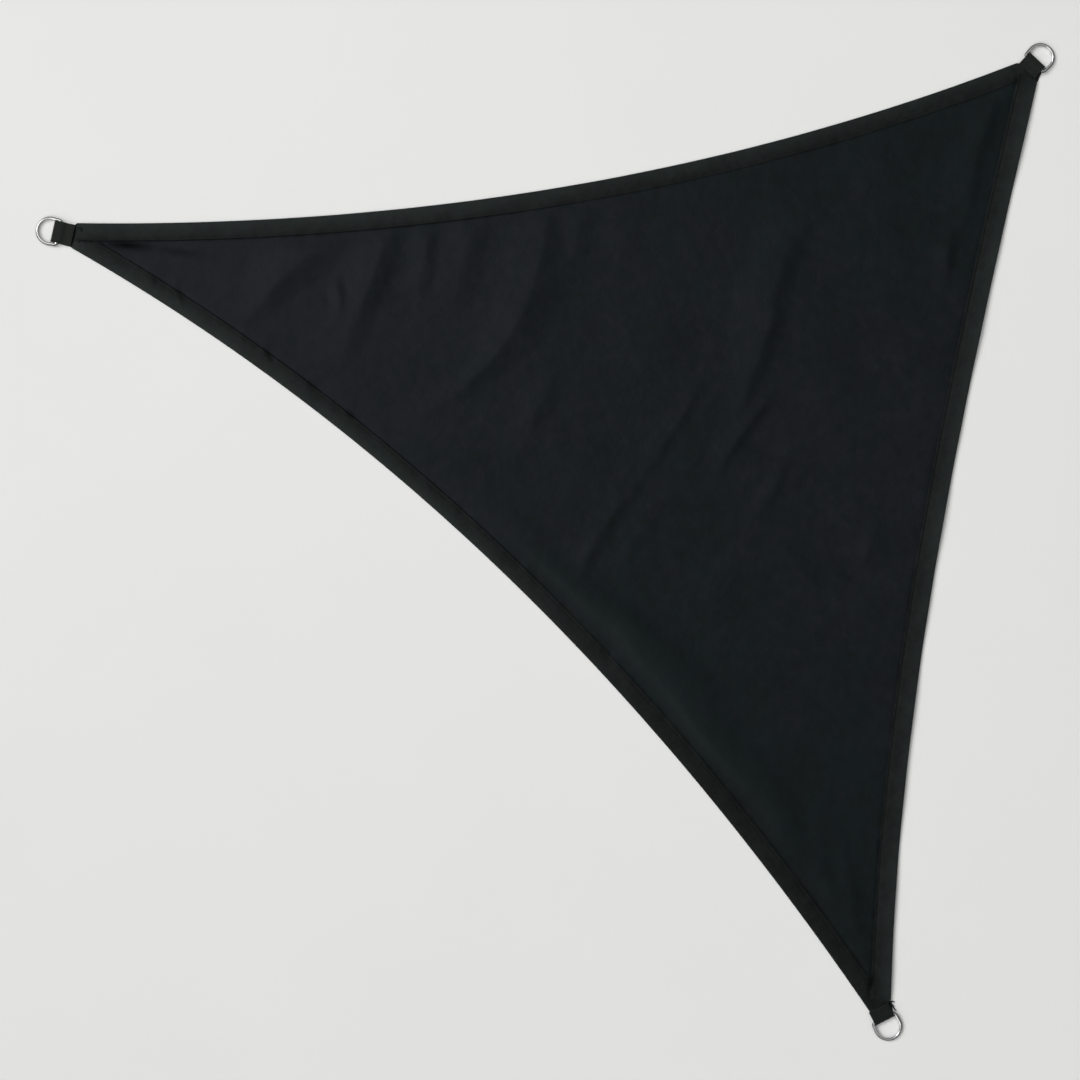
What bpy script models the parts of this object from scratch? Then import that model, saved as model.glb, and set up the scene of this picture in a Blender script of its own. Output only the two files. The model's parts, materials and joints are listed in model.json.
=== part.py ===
"""A triangular shade sail with three concave edges, laid out flat.

It is made as a sewer would make it: one cloth whose edges are turned over to the upper face as hems, a
webbing tab folded round a steel D ring at each corner, and the cloth's tip caught between the tab's two
layers. The frame is +Z up, with the origin on the surface under the middle of the sail's box. X runs to
the right along the upper edge and Y runs away from the lower corner. All sizes are in metres.
"""

import math
from typing import NamedTuple

import bmesh
import bpy
from mathutils import Matrix, Vector
from mathutils.geometry import delaunay_2d_cdt, intersect_point_line

GAP = 0.0003  # between pieces that touch on the real sail

# The cloth and its hems.
CLOTH = 0.0012
HEM_STEP = 0.001  # the width of the slope where a hem ends
WAVE_REACH = 0.085  # how far a hem's waves run in from the edge
EDGE_STATION = 0.038  # between points along an edge
QUIET_PITCH = 0.088  # between points where the cloth lies flat
QUIET_COUNT = 13  # rows and columns of them each way from the origin
POINT_ROOM = 0.005  # between points of the cloth, at least
QUIET_ROOM = 0.030  # from a point where the cloth lies flat to any other

# The webbing tabs. Each is folded round a ring's bar, with the cloth's tip between its layers.
WEBBING = 0.0015
TAB_WIDTH = 0.043
TAB_FOLD_WIDTH = 0.0408  # drawn in a little where it turns inside the ring
TAB_DRAWN_IN = 0.009  # how far from the turn the full width is reached
TONGUE_WIDTH = 0.0385  # of the cloth's tip, inside the tab
TONGUE_ROOT = 0.002  # from the webbing's cut end to the bend where the tip narrows
TAB_SLOPE = 0.007  # where the upper layer comes down from the bar to the cloth
TURN_STEPS = 10
LAYER_STEPS = 5
LIFT_PAST = 0.011  # how far past the webbing's cut end the cloth stays up
LIFT_FADE = 0.11  # over which it then comes down to the surface

# The D rings, of round wire: a half circle, two legs and a straight bar.
WIRE = 0.006
BOW_RADIUS = 0.0255  # to the middle of the wire
BAR_BACK = 0.018  # from the bow's centre back to the bar
BAR_HALF = 0.0248  # half the bar's length, to the legs' middle
RING_CORNER = 0.004
BOW_STEPS = 20
RING_CORNER_STEPS = 4


class Side(NamedTuple):
    """One concave edge, from one corner point to the next, with the cloth on its right."""

    name: str
    start: tuple
    end: tuple
    sagitta: float  # how far the edge is drawn in at its middle
    skew: float  # above zero, the deepest place lies nearer the end
    hem: float
    wave: float  # the height of the slow waves in which the hem lies
    ripple: float  # the length of one such wave


class Corner(NamedTuple):
    """One corner's webbing tab and ring."""

    name: str
    turn: tuple  # the middle of the line where the webbing turns back
    heading_deg: float  # the way that the tab points, anticlockwise from +X
    tab: float  # from the turn back to the webbing's cut ends
    splay: float  # how far the lower layer's cut end lies to the left of the upper one's
    bow_ahead: float  # from the turn out to the centre of the ring's bow
    aside: float  # how far the ring has slid to the left of the tab's middle


class Fold(NamedTuple):
    """One soft fold that stands up from the surface, with its crest's route."""

    name: str
    height: float
    left: float  # how far it spreads to the left of its route
    right: float
    route: tuple
    swell: float = 0.0  # how much farther it spreads to the right where it is puffed up
    swell_at: float = 0.5  # where that is, as a share of the route


LEFT_POINT = (-1.0400, 0.6392)
UPPER_POINT = (0.9972, 0.9786)
LOWER_POINT = (0.6894, -0.9992)

SIDES = (
    Side("top", LEFT_POINT, UPPER_POINT, sagitta=0.1071, skew=0.057, hem=0.036, wave=0.0016, ripple=0.31),
    Side("right", UPPER_POINT, LOWER_POINT, sagitta=0.0559, skew=0.331, hem=0.039, wave=0.0030, ripple=0.43),
    Side("low", LOWER_POINT, LEFT_POINT, sagitta=0.1486, skew=0.089, hem=0.037, wave=0.0022, ripple=0.19),
)

CORNERS = (
    Corner("left", (-0.9837, 0.6213), 167.6, tab=0.0416, splay=0.002, bow_ahead=0.0058, aside=0.0011),
    Corner("upper", (0.9836, 0.9636), 46.8, tab=0.0310, splay=-0.009, bow_ahead=0.0076, aside=-0.0011),
    Corner("lower", (0.6792, -0.9568), -63.1, tab=0.0294, splay=0.008, bow_ahead=0.0130, aside=0.0000),
)

# The routes run down the sail, so that most folds have their broad, light flank on the right.
FOLDS = (
    Fold("left_outer", 0.0060, left=0.026, right=0.028,
         route=((-0.453, 0.593), (-0.497, 0.547), (-0.553, 0.483))),
    Fold("left_inner", 0.0055, left=0.022, right=0.026,
         route=((-0.323, 0.597), (-0.361, 0.513), (-0.393, 0.433), (-0.409, 0.393))),
    Fold("left_short", 0.0032, left=0.022, right=0.024,
         route=((-0.241, 0.611), (-0.225, 0.533), (-0.229, 0.473))),
    Fold("main", 0.0095, left=0.032, right=0.044,
         route=((0.057, 0.619), (0.015, 0.553), (-0.013, 0.477), (-0.059, 0.403), (-0.117, 0.347),
                (-0.189, 0.293), (-0.239, 0.267))),
    Fold("middle", 0.0042, left=0.022, right=0.026,
         route=((0.023, 0.323), (-0.007, 0.267), (-0.041, 0.199), (-0.073, 0.143))),
    Fold("under_hem", 0.0032, left=0.022, right=0.026,
         route=((0.155, 0.655), (0.127, 0.559))),
    Fold("thin", 0.0040, left=0.016, right=0.026,
         route=((0.287, 0.299), (0.223, 0.179), (0.179, 0.103), (0.111, 0.023), (0.067, -0.061))),
    Fold("long", 0.0062, left=0.026, right=0.042,
         route=((0.523, 0.673), (0.485, 0.573), (0.451, 0.459), (0.419, 0.339), (0.401, 0.279))),
    Fold("long_end", 0.0060, left=0.016, right=0.028,
         route=((0.439, 0.277), (0.393, 0.207), (0.345, 0.135))),
    Fold("short_right", 0.0030, left=0.016, right=0.022,
         route=((0.441, 0.143), (0.423, 0.067))),
    Fold("beside_hem", 0.0092, left=0.032, right=0.036, swell=0.030, swell_at=0.34,
         route=((-0.049, 0.033), (0.063, -0.083), (0.193, -0.228), (0.311, -0.357), (0.405, -0.462),
                (0.517, -0.590))),
    Fold("right_upper", 0.0040, left=0.022, right=0.034,
         route=((0.875, 0.847), (0.841, 0.713), (0.799, 0.559))),
    Fold("low_corner", 0.0032, left=0.016, right=0.022,
         route=((0.603, -0.641), (0.627, -0.757))),
)


def smooth(share):
    """Runs softly from 0 to 1 as share does, and stays there outside."""
    share = min(max(share, 0.0), 1.0)
    return share * share * (3 - 2 * share)


# ---- the edges -------------------------------------------------------------------------------------

def side_frame(side):
    """An edge's start, unit direction, unit normal into the cloth, and length."""
    start = Vector(side.start)
    chord = Vector(side.end) - start
    along = chord.normalized()
    return start, along, Vector((along.y, -along.x)), chord.length


def side_offset(side, share):
    """How far the edge lies inside its chord, and the cosine of its slope, at a share of the chord."""
    length = side_frame(side)[3]
    bow = 4 * side.sagitta * share * (1 - share)
    offset = bow * (1 + side.skew * (2 * share - 1))
    slope = 4 * side.sagitta * (1 - 2 * share) * (1 + side.skew * (2 * share - 1)) + 2 * side.skew * bow
    return offset, 1 / math.hypot(1, slope / length)


def side_point(side, share, depth=0.0):
    """The point that lies the given depth inside the edge."""
    start, along, inward, length = side_frame(side)
    offset, cosine = side_offset(side, share)
    return start + along * (share * length) + inward * (offset + depth / cosine)


def side_place(side, point):
    """A point's share along the edge, and its depth inside it."""
    start, along, inward, length = side_frame(side)
    reach = Vector(point) - start
    share = reach.dot(along) / length
    offset, cosine = side_offset(side, share)
    return share, (reach.dot(inward) - offset) * cosine


# ---- the corners -----------------------------------------------------------------------------------

def corner_axes(corner):
    """The tab's turn, the way it points, and the way to its left."""
    heading = math.radians(corner.heading_deg)
    ahead = Vector((math.cos(heading), math.sin(heading)))
    return Vector(corner.turn), ahead, Vector((-ahead.y, ahead.x))


def corner_point(corner, ahead, aside):
    """A point given in the tab's own directions, from its turn."""
    turn, forward, left = corner_axes(corner)
    return turn + forward * ahead + left * aside


def corner_place(corner, point):
    """How far a point lies ahead of the tab's turn and to the left of its middle."""
    turn, forward, left = corner_axes(corner)
    reach = Vector(point) - turn
    return reach.dot(forward), reach.dot(left)


def bar_behind(corner):
    """From the tab's turn back to the ring's bar."""
    return BAR_BACK - corner.bow_ahead


def tongue_behind(corner):
    """From the tab's turn back to the cloth's tip."""
    return bar_behind(corner) + WIRE / 2 + 2 * GAP + TAB_SLOPE + WEBBING


# ---- the cloth -------------------------------------------------------------------------------------

def curve_through(points, step):
    """Points about a step apart on one smooth curve through the given points."""
    knots = [Vector(p) for p in points]
    ends = [2 * knots[0] - knots[1], *knots, 2 * knots[-1] - knots[-2]]
    found = []
    for before, first, last, after in zip(ends, ends[1:], ends[2:], ends[3:]):
        pieces = max(1, round((last - first).length / step))
        for piece in range(pieces):
            t = piece / pieces
            found.append(0.5 * (2 * first + (last - before) * t
                                + (2 * before - 5 * first + 4 * last - after) * t * t
                                + (3 * first - before - 3 * last + after) * t * t * t))
    return [*found, knots[-1]]


class Crest:
    """A fold's crest as a line of points, and the height that it gives to a point of the cloth."""

    STATION = 0.027
    FADE = 0.4  # the share of the crest over which each end dies away
    END_SPREAD = 0.5  # how much of its spread is left at its ends
    FLANK_ROWS = (1 / 3, 2 / 3, 1.0)
    BOX_ROOM = 0.07

    def __init__(self, fold):
        self.fold = fold
        self.line = curve_through(fold.route, self.STATION)
        self.starts = [0.0]
        for first, last in zip(self.line, self.line[1:]):
            self.starts.append(self.starts[-1] + (last - first).length)
        self.low = Vector((min(p.x for p in self.line), min(p.y for p in self.line)))
        self.high = Vector((max(p.x for p in self.line), max(p.y for p in self.line)))

    def place(self, point):
        """The share of the crest's length next to a point, and the distance to its left."""
        nearest = None
        for first, last, start in zip(self.line, self.line[1:], self.starts):
            foot, share = intersect_point_line(point, first, last)
            share = min(max(share, 0.0), 1.0)
            foot = first.lerp(last, share)
            away = Vector(point) - foot
            if nearest is None or away.length < nearest[0]:
                run = last - first
                turn = run.x * away.y - run.y * away.x
                nearest = away.length, start + share * run.length, math.copysign(away.length, turn)
        return nearest[1] / self.starts[-1], nearest[2]

    def fullness(self, share):
        """How much of its height the fold has at a share of its crest."""
        return smooth(share / self.FADE) * smooth((1 - share) / self.FADE)

    def spread(self, share, on_left):
        """How far the fold spreads to one side at a share of its crest."""
        if on_left:
            full = self.fold.left
        else:
            full = self.fold.right + self.fold.swell * smooth(1 - 2 * abs(share - self.fold.swell_at))
        return full * (self.END_SPREAD + (1 - self.END_SPREAD) * self.fullness(share))

    def height(self, point):
        """The fold's height at a point."""
        if not all(self.low[k] - self.BOX_ROOM < point[k] < self.high[k] + self.BOX_ROOM for k in (0, 1)):
            return 0.0
        share, left = self.place(point)
        flank = smooth(1 - abs(left) / self.spread(share, left > 0))
        return self.fold.height * flank * self.fullness(share)

    def rows(self):
        """Rows of points along the crest, both flanks and both feet, the crest's own first."""
        places = []
        for index, middle in enumerate(self.line):
            run = self.line[min(index + 1, len(self.line) - 1)] - self.line[max(index - 1, 0)]
            places.append((middle, Vector((-run.y, run.x)).normalized(), index / (len(self.line) - 1)))
        yield self.line
        for across in self.FLANK_ROWS:
            yield [middle + aside * (across * self.spread(share, True)) for middle, aside, share in places]
            yield [middle - aside * (across * self.spread(share, False)) for middle, aside, share in places]


CRESTS = [Crest(fold) for fold in FOLDS]


def hem_wave(side, point):
    """How far the waves of one hem lift the cloth."""
    share, depth = side_place(side, point)
    turns = math.tau * share * side_frame(side)[3] / side.ripple
    wave = 0.5 + 0.3 * math.sin(turns) + 0.2 * math.sin(2.3 * turns + 1)  # two waves that drift apart
    off_corners = smooth(9 * share * (1 - share))  # no wave in the last eighth at each end
    return side.wave * wave * smooth(1 - depth / WAVE_REACH) * off_corners


def tab_lift(corner, point):
    """How far the webbing's lower layer holds up the cloth's tip."""
    ahead = corner_place(corner, point)[0]
    return (WEBBING + GAP) * smooth(1 + (ahead + corner.tab + LIFT_PAST) / LIFT_FADE)


def lift(point):
    """How far the cloth's underside stands above the surface."""
    folds = sum(crest.height(point) for crest in CRESTS)
    waves = [hem_wave(side, point) for side in SIDES]
    tabs = [tab_lift(corner, point) for corner in CORNERS]
    return max(folds, *waves, *tabs)


def in_tongue(point):
    """Whether a point of the cloth lies between the layers of a tab."""
    for corner in CORNERS:
        ahead, aside = corner_place(corner, point)
        if ahead > -corner.tab - GAP and abs(aside) < TAB_WIDTH:
            return True
    return False


def thickness(point):
    """The cloth's thickness: one layer, and one more for each hem that lies there."""
    layers = 1.0
    for side in SIDES:
        depth = side_place(side, point)[1]
        layers += smooth((side.hem + HEM_STEP / 2 - depth) / HEM_STEP)
    return CLOTH * min(layers, 2.0 if in_tongue(point) else 3.0)


def edge_shares(side):
    """Where the edge leaves one tab, where it meets the next, and the even steps between them."""
    inside = []
    for step in range(2001):
        share = step / 2000
        point = side_point(side, share)
        clear = all(corner_place(corner, point)[0] < -corner.tab - TONGUE_ROOT for corner in CORNERS)
        if clear:
            inside.append(share)
    first, last = inside[0], inside[-1]
    count = round((last - first) * side_frame(side)[3] / EDGE_STATION)
    return [first + (last - first) * step / count for step in range(count + 1)]


def outline():
    """The cloth's outline, clockwise: each edge, and then the tongue that the next tab holds."""
    points = []
    following = dict(zip(("top", "right", "low"), (CORNERS[1], CORNERS[2], CORNERS[0])))
    for side in SIDES:
        points += [side_point(side, share) for share in edge_shares(side)]
        corner = following[side.name]
        half = TONGUE_WIDTH / 2
        root = -corner.tab + TONGUE_ROOT
        tip = -tongue_behind(corner)
        points += [corner_point(corner, root, half), corner_point(corner, tip, half)]
        points += [corner_point(corner, tip, -half), corner_point(corner, root, -half)]
    return points


def inside(point, loop):
    """Whether a point lies inside a closed loop."""
    crossings = 0
    for first, last in zip(loop, [*loop[1:], loop[0]]):
        if (first.y > point.y) != (last.y > point.y):
            crossings += point.x < first.x + (point.y - first.y) / (last.y - first.y) * (last.x - first.x)
    return crossings % 2 == 1


class PointField:
    """The points inside the cloth's outline, none too close to another, and the lines that join some."""

    def __init__(self, loop):
        self.loop = loop
        self.points = list(loop)
        self.lines = []

    def add(self, point, edge_room, room):
        """Adds a point if it lies deep enough inside and clear of the others, and gives its number."""
        deep = all(side_place(side, point)[1] > edge_room for side in SIDES)
        if not deep or not inside(point, self.loop):
            return None
        if any((point - other).length < room for other in self.points):
            return None
        self.points.append(point)
        return len(self.points) - 1

    def add_row(self, row, edge_room, room, joined=True):
        numbers = [self.add(point, edge_room, room) for point in row]
        if joined:
            self.lines += [pair for pair in zip(numbers, numbers[1:]) if None not in pair]


def cloth_field():
    """The outline, the hems' rows, the folds' rows, and an even field where the cloth lies flat."""
    field = PointField(outline())
    for side in SIDES:
        for depth in (side.hem - HEM_STEP / 2, side.hem + HEM_STEP / 2):
            row = [side_point(side, share, depth) for share in edge_shares(side)]
            field.add_row(row, POINT_ROOM, HEM_STEP / 2)
    past_hems = max(side.hem for side in SIDES) + POINT_ROOM
    for crest in CRESTS:
        for number, row in enumerate(crest.rows()):
            field.add_row(row, past_hems, POINT_ROOM, joined=number == 0)
    row_height = QUIET_PITCH * math.sqrt(0.75)
    for row in range(-QUIET_COUNT, QUIET_COUNT + 1):
        for column in range(-QUIET_COUNT, QUIET_COUNT + 1):
            point = Vector(((column + 0.5 * (row % 2)) * QUIET_PITCH, row * row_height))
            field.add(point, past_hems, QUIET_ROOM)
    return field


def build_cloth(material):
    """The cloth, as one closed solid that follows its folds."""
    field = cloth_field()
    rim = list(range(len(field.loop)))
    places, _, triangles = delaunay_2d_cdt(field.points, field.lines, [rim], 1, 1e-6)[:3]

    mesh = bmesh.new()
    lower = [mesh.verts.new((p.x, p.y, lift(p))) for p in places]
    upper = [mesh.verts.new((p.x, p.y, low.co.z + thickness(p))) for p, low in zip(places, lower)]
    for triangle in triangles:
        mesh.faces.new([upper[k] for k in triangle])
        mesh.faces.new([lower[k] for k in reversed(triangle)])
    rims = [edge for edge in mesh.edges if edge.is_boundary]
    bmesh.ops.bridge_loops(mesh, edges=rims)
    bmesh.ops.recalc_face_normals(mesh, faces=mesh.faces)
    return add_object("sail", mesh, material)


# ---- the tabs and rings ----------------------------------------------------------------------------

def tab_profile(corner):
    """The middle of the webbing, seen from the side, as (ahead, height, splay): it runs from the lower
    layer's cut end round the turn, back over the bar and down to the upper layer's cut end."""
    radius = WIRE / 2 + GAP + WEBBING / 2
    axis = WEBBING + GAP + WIRE / 2
    turn = -WEBBING / 2 - radius  # the middle of the turn, whose outer face lies at zero
    behind_bar = -bar_behind(corner) - WIRE / 2 - 2 * GAP
    upper = axis + radius
    resting = WEBBING + GAP + 2 * CLOTH + GAP + WEBBING / 2
    profile = []
    for step in range(LAYER_STEPS):
        share = step / LAYER_STEPS
        profile.append(((turn + corner.tab) * share - corner.tab, WEBBING / 2, corner.splay * (1 - share)))
    for step in range(TURN_STEPS + 1):
        angle = math.pi * (step / TURN_STEPS - 0.5)
        profile.append((turn + radius * math.cos(angle), axis + radius * math.sin(angle), 0.0))
    if behind_bar < turn - GAP:
        profile.append((behind_bar, upper, 0.0))
    for step in range(1, LAYER_STEPS + 1):
        share = step / LAYER_STEPS
        profile.append((behind_bar - TAB_SLOPE * share, upper + (resting - upper) * smooth(share), 0.0))
    profile.append((-corner.tab, resting, 0.0))
    return profile


def build_tab(corner, material):
    """A webbing tab, folded round its ring's bar, with both cut ends on the cloth's tip."""
    mesh = bmesh.new()
    rows = []
    for ahead, height, splay in tab_profile(corner):
        drawn = smooth(1 + ahead / TAB_DRAWN_IN)
        half = (TAB_WIDTH + (TAB_FOLD_WIDTH - TAB_WIDTH) * drawn) / 2
        edges = [corner_point(corner, ahead, splay + half), corner_point(corner, ahead, splay - half)]
        rows.append([mesh.verts.new((*edge, height)) for edge in edges])
    for first, last in zip(rows, rows[1:]):
        mesh.faces.new((first[0], last[0], last[1], first[1]))
    tab = add_object("tab_" + corner.name, mesh, material)
    solid = tab.modifiers.new("webbing", "SOLIDIFY")
    solid.thickness = WEBBING
    solid.offset = 0.0
    solid.use_even_offset = True
    return tab


def ring_path():
    """The middle of the ring's wire, with the bow's centre at zero and the bow ahead along +X."""
    path = []
    for step in range(BOW_STEPS + 1):
        angle = math.pi * (0.5 - step / BOW_STEPS)
        path.append((BOW_RADIUS * math.cos(angle), BOW_RADIUS * math.sin(angle)))
    for side in (-1, 1):
        arc = []
        for step in range(RING_CORNER_STEPS + 1):
            angle = math.pi / 2 * step / RING_CORNER_STEPS
            arc.append((RING_CORNER * (1 - math.sin(angle)) - BAR_BACK,
                        side * (BAR_HALF - RING_CORNER * (1 - math.cos(angle)))))
        path += arc if side < 0 else arc[::-1]
    return path


def build_ring(corner, material):
    """A D ring, with its bar in the tab and its bow down on the surface."""
    curve = bpy.data.curves.new("ring_" + corner.name, "CURVE")
    curve.dimensions = "3D"
    curve.bevel_depth = WIRE / 2
    curve.bevel_resolution = 3
    spline = curve.splines.new("POLY")
    path = ring_path()
    spline.points.add(len(path) - 1)
    for point, (ahead, aside) in zip(spline.points, path):
        point.co = (ahead, aside, 0, 1)
    spline.use_cyclic_u = True
    curve.materials.append(material)
    ring = bpy.data.objects.new("ring_" + corner.name, curve)
    bar_height = WEBBING + GAP + WIRE / 2
    tilt = math.asin((bar_height - WIRE / 2) / (BAR_BACK + BOW_RADIUS))
    centre = corner_point(corner, corner.bow_ahead, corner.aside)
    ring.location = (centre.x, centre.y, WIRE / 2 + BOW_RADIUS * math.sin(tilt))
    ring.rotation_euler = (Matrix.Rotation(math.radians(corner.heading_deg), 4, "Z")
                           @ Matrix.Rotation(tilt, 4, "Y")).to_euler()
    bpy.context.collection.objects.link(ring)
    return ring


# ---- materials and objects -------------------------------------------------------------------------

def add_material(name, colour, roughness, metallic=0.0):
    material = bpy.data.materials.new(name)
    material.use_nodes = True
    shader = material.node_tree.nodes["Principled BSDF"]
    shader.inputs["Base Color"].default_value = (*colour, 1.0)
    shader.inputs["Roughness"].default_value = roughness
    shader.inputs["Metallic"].default_value = metallic
    material.diffuse_color = (*colour, 1.0)
    return material


def add_object(name, mesh, material):
    data = bpy.data.meshes.new(name)
    mesh.to_mesh(data)
    mesh.free()
    data.materials.append(material)
    made = bpy.data.objects.new(name, data)
    bpy.context.collection.objects.link(made)
    return made


def main():
    for old in list(bpy.data.objects):
        bpy.data.objects.remove(old)
    cloth = add_material("black_cloth", (0.012, 0.014, 0.015), 0.75)
    webbing = add_material("black_webbing", (0.017, 0.017, 0.016), 0.85)
    steel = add_material("polished_steel", (0.55, 0.56, 0.57), 0.2, 1.0)
    build_cloth(cloth)
    for corner in CORNERS:
        build_tab(corner, webbing)
        build_ring(corner, steel)


main()
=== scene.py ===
"""Dresses a triangular shade sail that lies flat on a pale floor, seen from straight above.

The sail is one black cloth with three hemmed, concave edges, a webbing tab round a steel D ring at each
corner, and black sewing thread. Sizes are in metres, but the folds' routes are in millimetres. +Z is up,
and X runs to the right along the upper edge.
"""

import json
import math
from typing import NamedTuple

import bmesh
import bpy
import numpy as np
from bpy.props import FloatProperty, FloatVectorProperty, PointerProperty
from mathutils import Matrix, Vector, noise
from mathutils.bvhtree import BVHTree
from mathutils.geometry import delaunay_2d_cdt

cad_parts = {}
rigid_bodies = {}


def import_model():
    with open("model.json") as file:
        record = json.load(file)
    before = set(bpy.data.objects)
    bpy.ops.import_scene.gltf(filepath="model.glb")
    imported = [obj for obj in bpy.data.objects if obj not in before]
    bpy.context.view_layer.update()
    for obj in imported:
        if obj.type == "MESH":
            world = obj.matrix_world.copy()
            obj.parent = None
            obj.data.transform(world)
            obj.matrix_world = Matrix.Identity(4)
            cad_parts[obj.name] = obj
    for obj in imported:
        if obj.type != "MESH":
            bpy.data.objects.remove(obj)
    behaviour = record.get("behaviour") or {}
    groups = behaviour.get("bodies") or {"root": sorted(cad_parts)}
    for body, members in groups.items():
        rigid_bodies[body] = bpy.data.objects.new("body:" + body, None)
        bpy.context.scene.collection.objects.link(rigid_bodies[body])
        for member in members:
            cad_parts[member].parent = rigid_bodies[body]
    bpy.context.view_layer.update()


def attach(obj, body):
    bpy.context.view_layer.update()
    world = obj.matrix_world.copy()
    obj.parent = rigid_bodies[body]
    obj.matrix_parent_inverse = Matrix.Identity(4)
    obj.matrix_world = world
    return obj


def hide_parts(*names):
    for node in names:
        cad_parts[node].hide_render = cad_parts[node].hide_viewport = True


bl_info = {
    "name": "Shade sail",
    "version": (1, 0, 0),
    "blender": (4, 5, 0),
    "location": "3D View > Sidebar > Shade sail",
    "description": "Sews a triangular shade sail over its solid frame and lays it out under soft light",
    "category": "Object",
}

for startup in list(bpy.data.objects):
    bpy.data.objects.remove(startup)
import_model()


# ---- the sail's own shape ----------------------------------------------------------------------

class Edge(NamedTuple):
    """One concave edge, from one corner point to the next, with the cloth on its right."""

    name: str
    start: tuple
    end: tuple
    sagitta: float  # how far the edge is drawn in at its middle
    skew: float  # above zero, the deepest place lies nearer the end
    hem: float
    seam: float  # from the edge in to the stitching
    tilt: float  # how far the hem's outer fold stands above the surface
    reach: float  # how far in from the edge it has come down
    ripple: float  # the length of one of the slow waves in which it does so
    pucker: float  # the height of the gathers that the stitching pulls up
    crown: float  # how far the hem is puffed up between its fold and its stitching
    swell: float  # how far the cloth puffs up beyond the hem
    groove: float  # half the width of the line of painted shade beside the hem
    sway: float  # how far that line strays to either side
    shade: tuple  # how dark that painted shade is towards the edge's start and towards its end
    soft: tuple  # over how far the hem's inner edge steps down, there and there
    pale: tuple  # how much paler the hem's outer fold is, there and there
    under: tuple  # the hems that lie over this one where they cross


class Corner(NamedTuple):
    """One corner's webbing tab and ring."""

    name: str
    turn: tuple  # the middle of the line where the webbing turns back
    heading_deg: float  # the way that the tab points, anticlockwise from +X
    tab: float  # from the turn back to the webbing's cut ends
    splay: float  # how far the lower layer's cut end lies to the left of the upper one's
    bow_ahead: float  # from the turn out to the centre of the ring's bow
    aside: float  # how far the ring has slid to the left of the tab's middle
    worn: float  # how pale its webbing has worn, from 0 to 1


class Fold(NamedTuple):
    """A soft fold that stands up from the surface.

    Its route has a row for each of the crest's points, in millimetres: X, Y, how far the fold spreads to
    the left of the crest and to the right of it, and how high it is there.
    """

    name: str
    crisp: float  # from 0, a rounded crest, to 1, a pinched one
    route: tuple
    paler: float = 0.0  # how much paler its high parts are painted, as a painted highlight


class Tail(NamedTuple):
    """A loose end of thread, or a bunch of frayed ends, that has come out at a tab."""

    name: str
    width: float
    start_height: float
    route: tuple


class Pinch(NamedTuple):
    """A place where the sewing has drawn the cloth into a small crease, dented and darkened with painted
    shade.
    """

    place: tuple
    heading_deg: float
    half_length: float
    half_width: float
    depth: float  # 1 for a deep, dark one


LEFT_POINT = (-1.0400, 0.6392)
UPPER_POINT = (0.9972, 0.9786)
LOWER_POINT = (0.6894, -0.9992)

EDGES = (
    Edge("top", LEFT_POINT, UPPER_POINT, sagitta=0.1071, skew=0.057, hem=0.036, seam=0.0310,
         tilt=0.0010, reach=0.060, ripple=0.31, pucker=0.00055, crown=0.0016, swell=0.0007,
         groove=0.0026, sway=0.0004, shade=(0.26, 0.16), soft=(0.0012, 0.0034), pale=(1.00, 0.82),
         under=("right",)),
    Edge("right", UPPER_POINT, LOWER_POINT, sagitta=0.0559, skew=0.331, hem=0.039, seam=0.0340,
         tilt=0.0052, reach=0.052, ripple=0.43, pucker=0.00050, crown=0.0006, swell=0.0006,
         groove=0.0028, sway=0.0006, shade=(0.26, 0.40), soft=(0.0012, 0.0020), pale=(1.08, 0.76),
         under=()),
    Edge("low", LOWER_POINT, LEFT_POINT, sagitta=0.1486, skew=0.089, hem=0.037, seam=0.0322,
         tilt=0.0012, reach=0.060, ripple=0.19, pucker=0.00090, crown=0.0016, swell=0.0012,
         groove=0.0046, sway=0.0012, shade=(0.22, 0.02), soft=(0.0056, 0.0018), pale=(0.12, 1.05),
         under=("top", "right")),
)

CORNERS = (
    Corner("left", (-0.9837, 0.6213), 167.6, tab=0.0416, splay=0.002, bow_ahead=0.0058, aside=0.0011,
           worn=1.0),
    Corner("upper", (0.9836, 0.9636), 46.8, tab=0.0310, splay=-0.009, bow_ahead=0.0076, aside=-0.0011,
           worn=0.6),
    Corner("lower", (0.6792, -0.9568), -63.1, tab=0.0294, splay=0.008, bow_ahead=0.0130, aside=0.0,
           worn=0.0),
)

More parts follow.
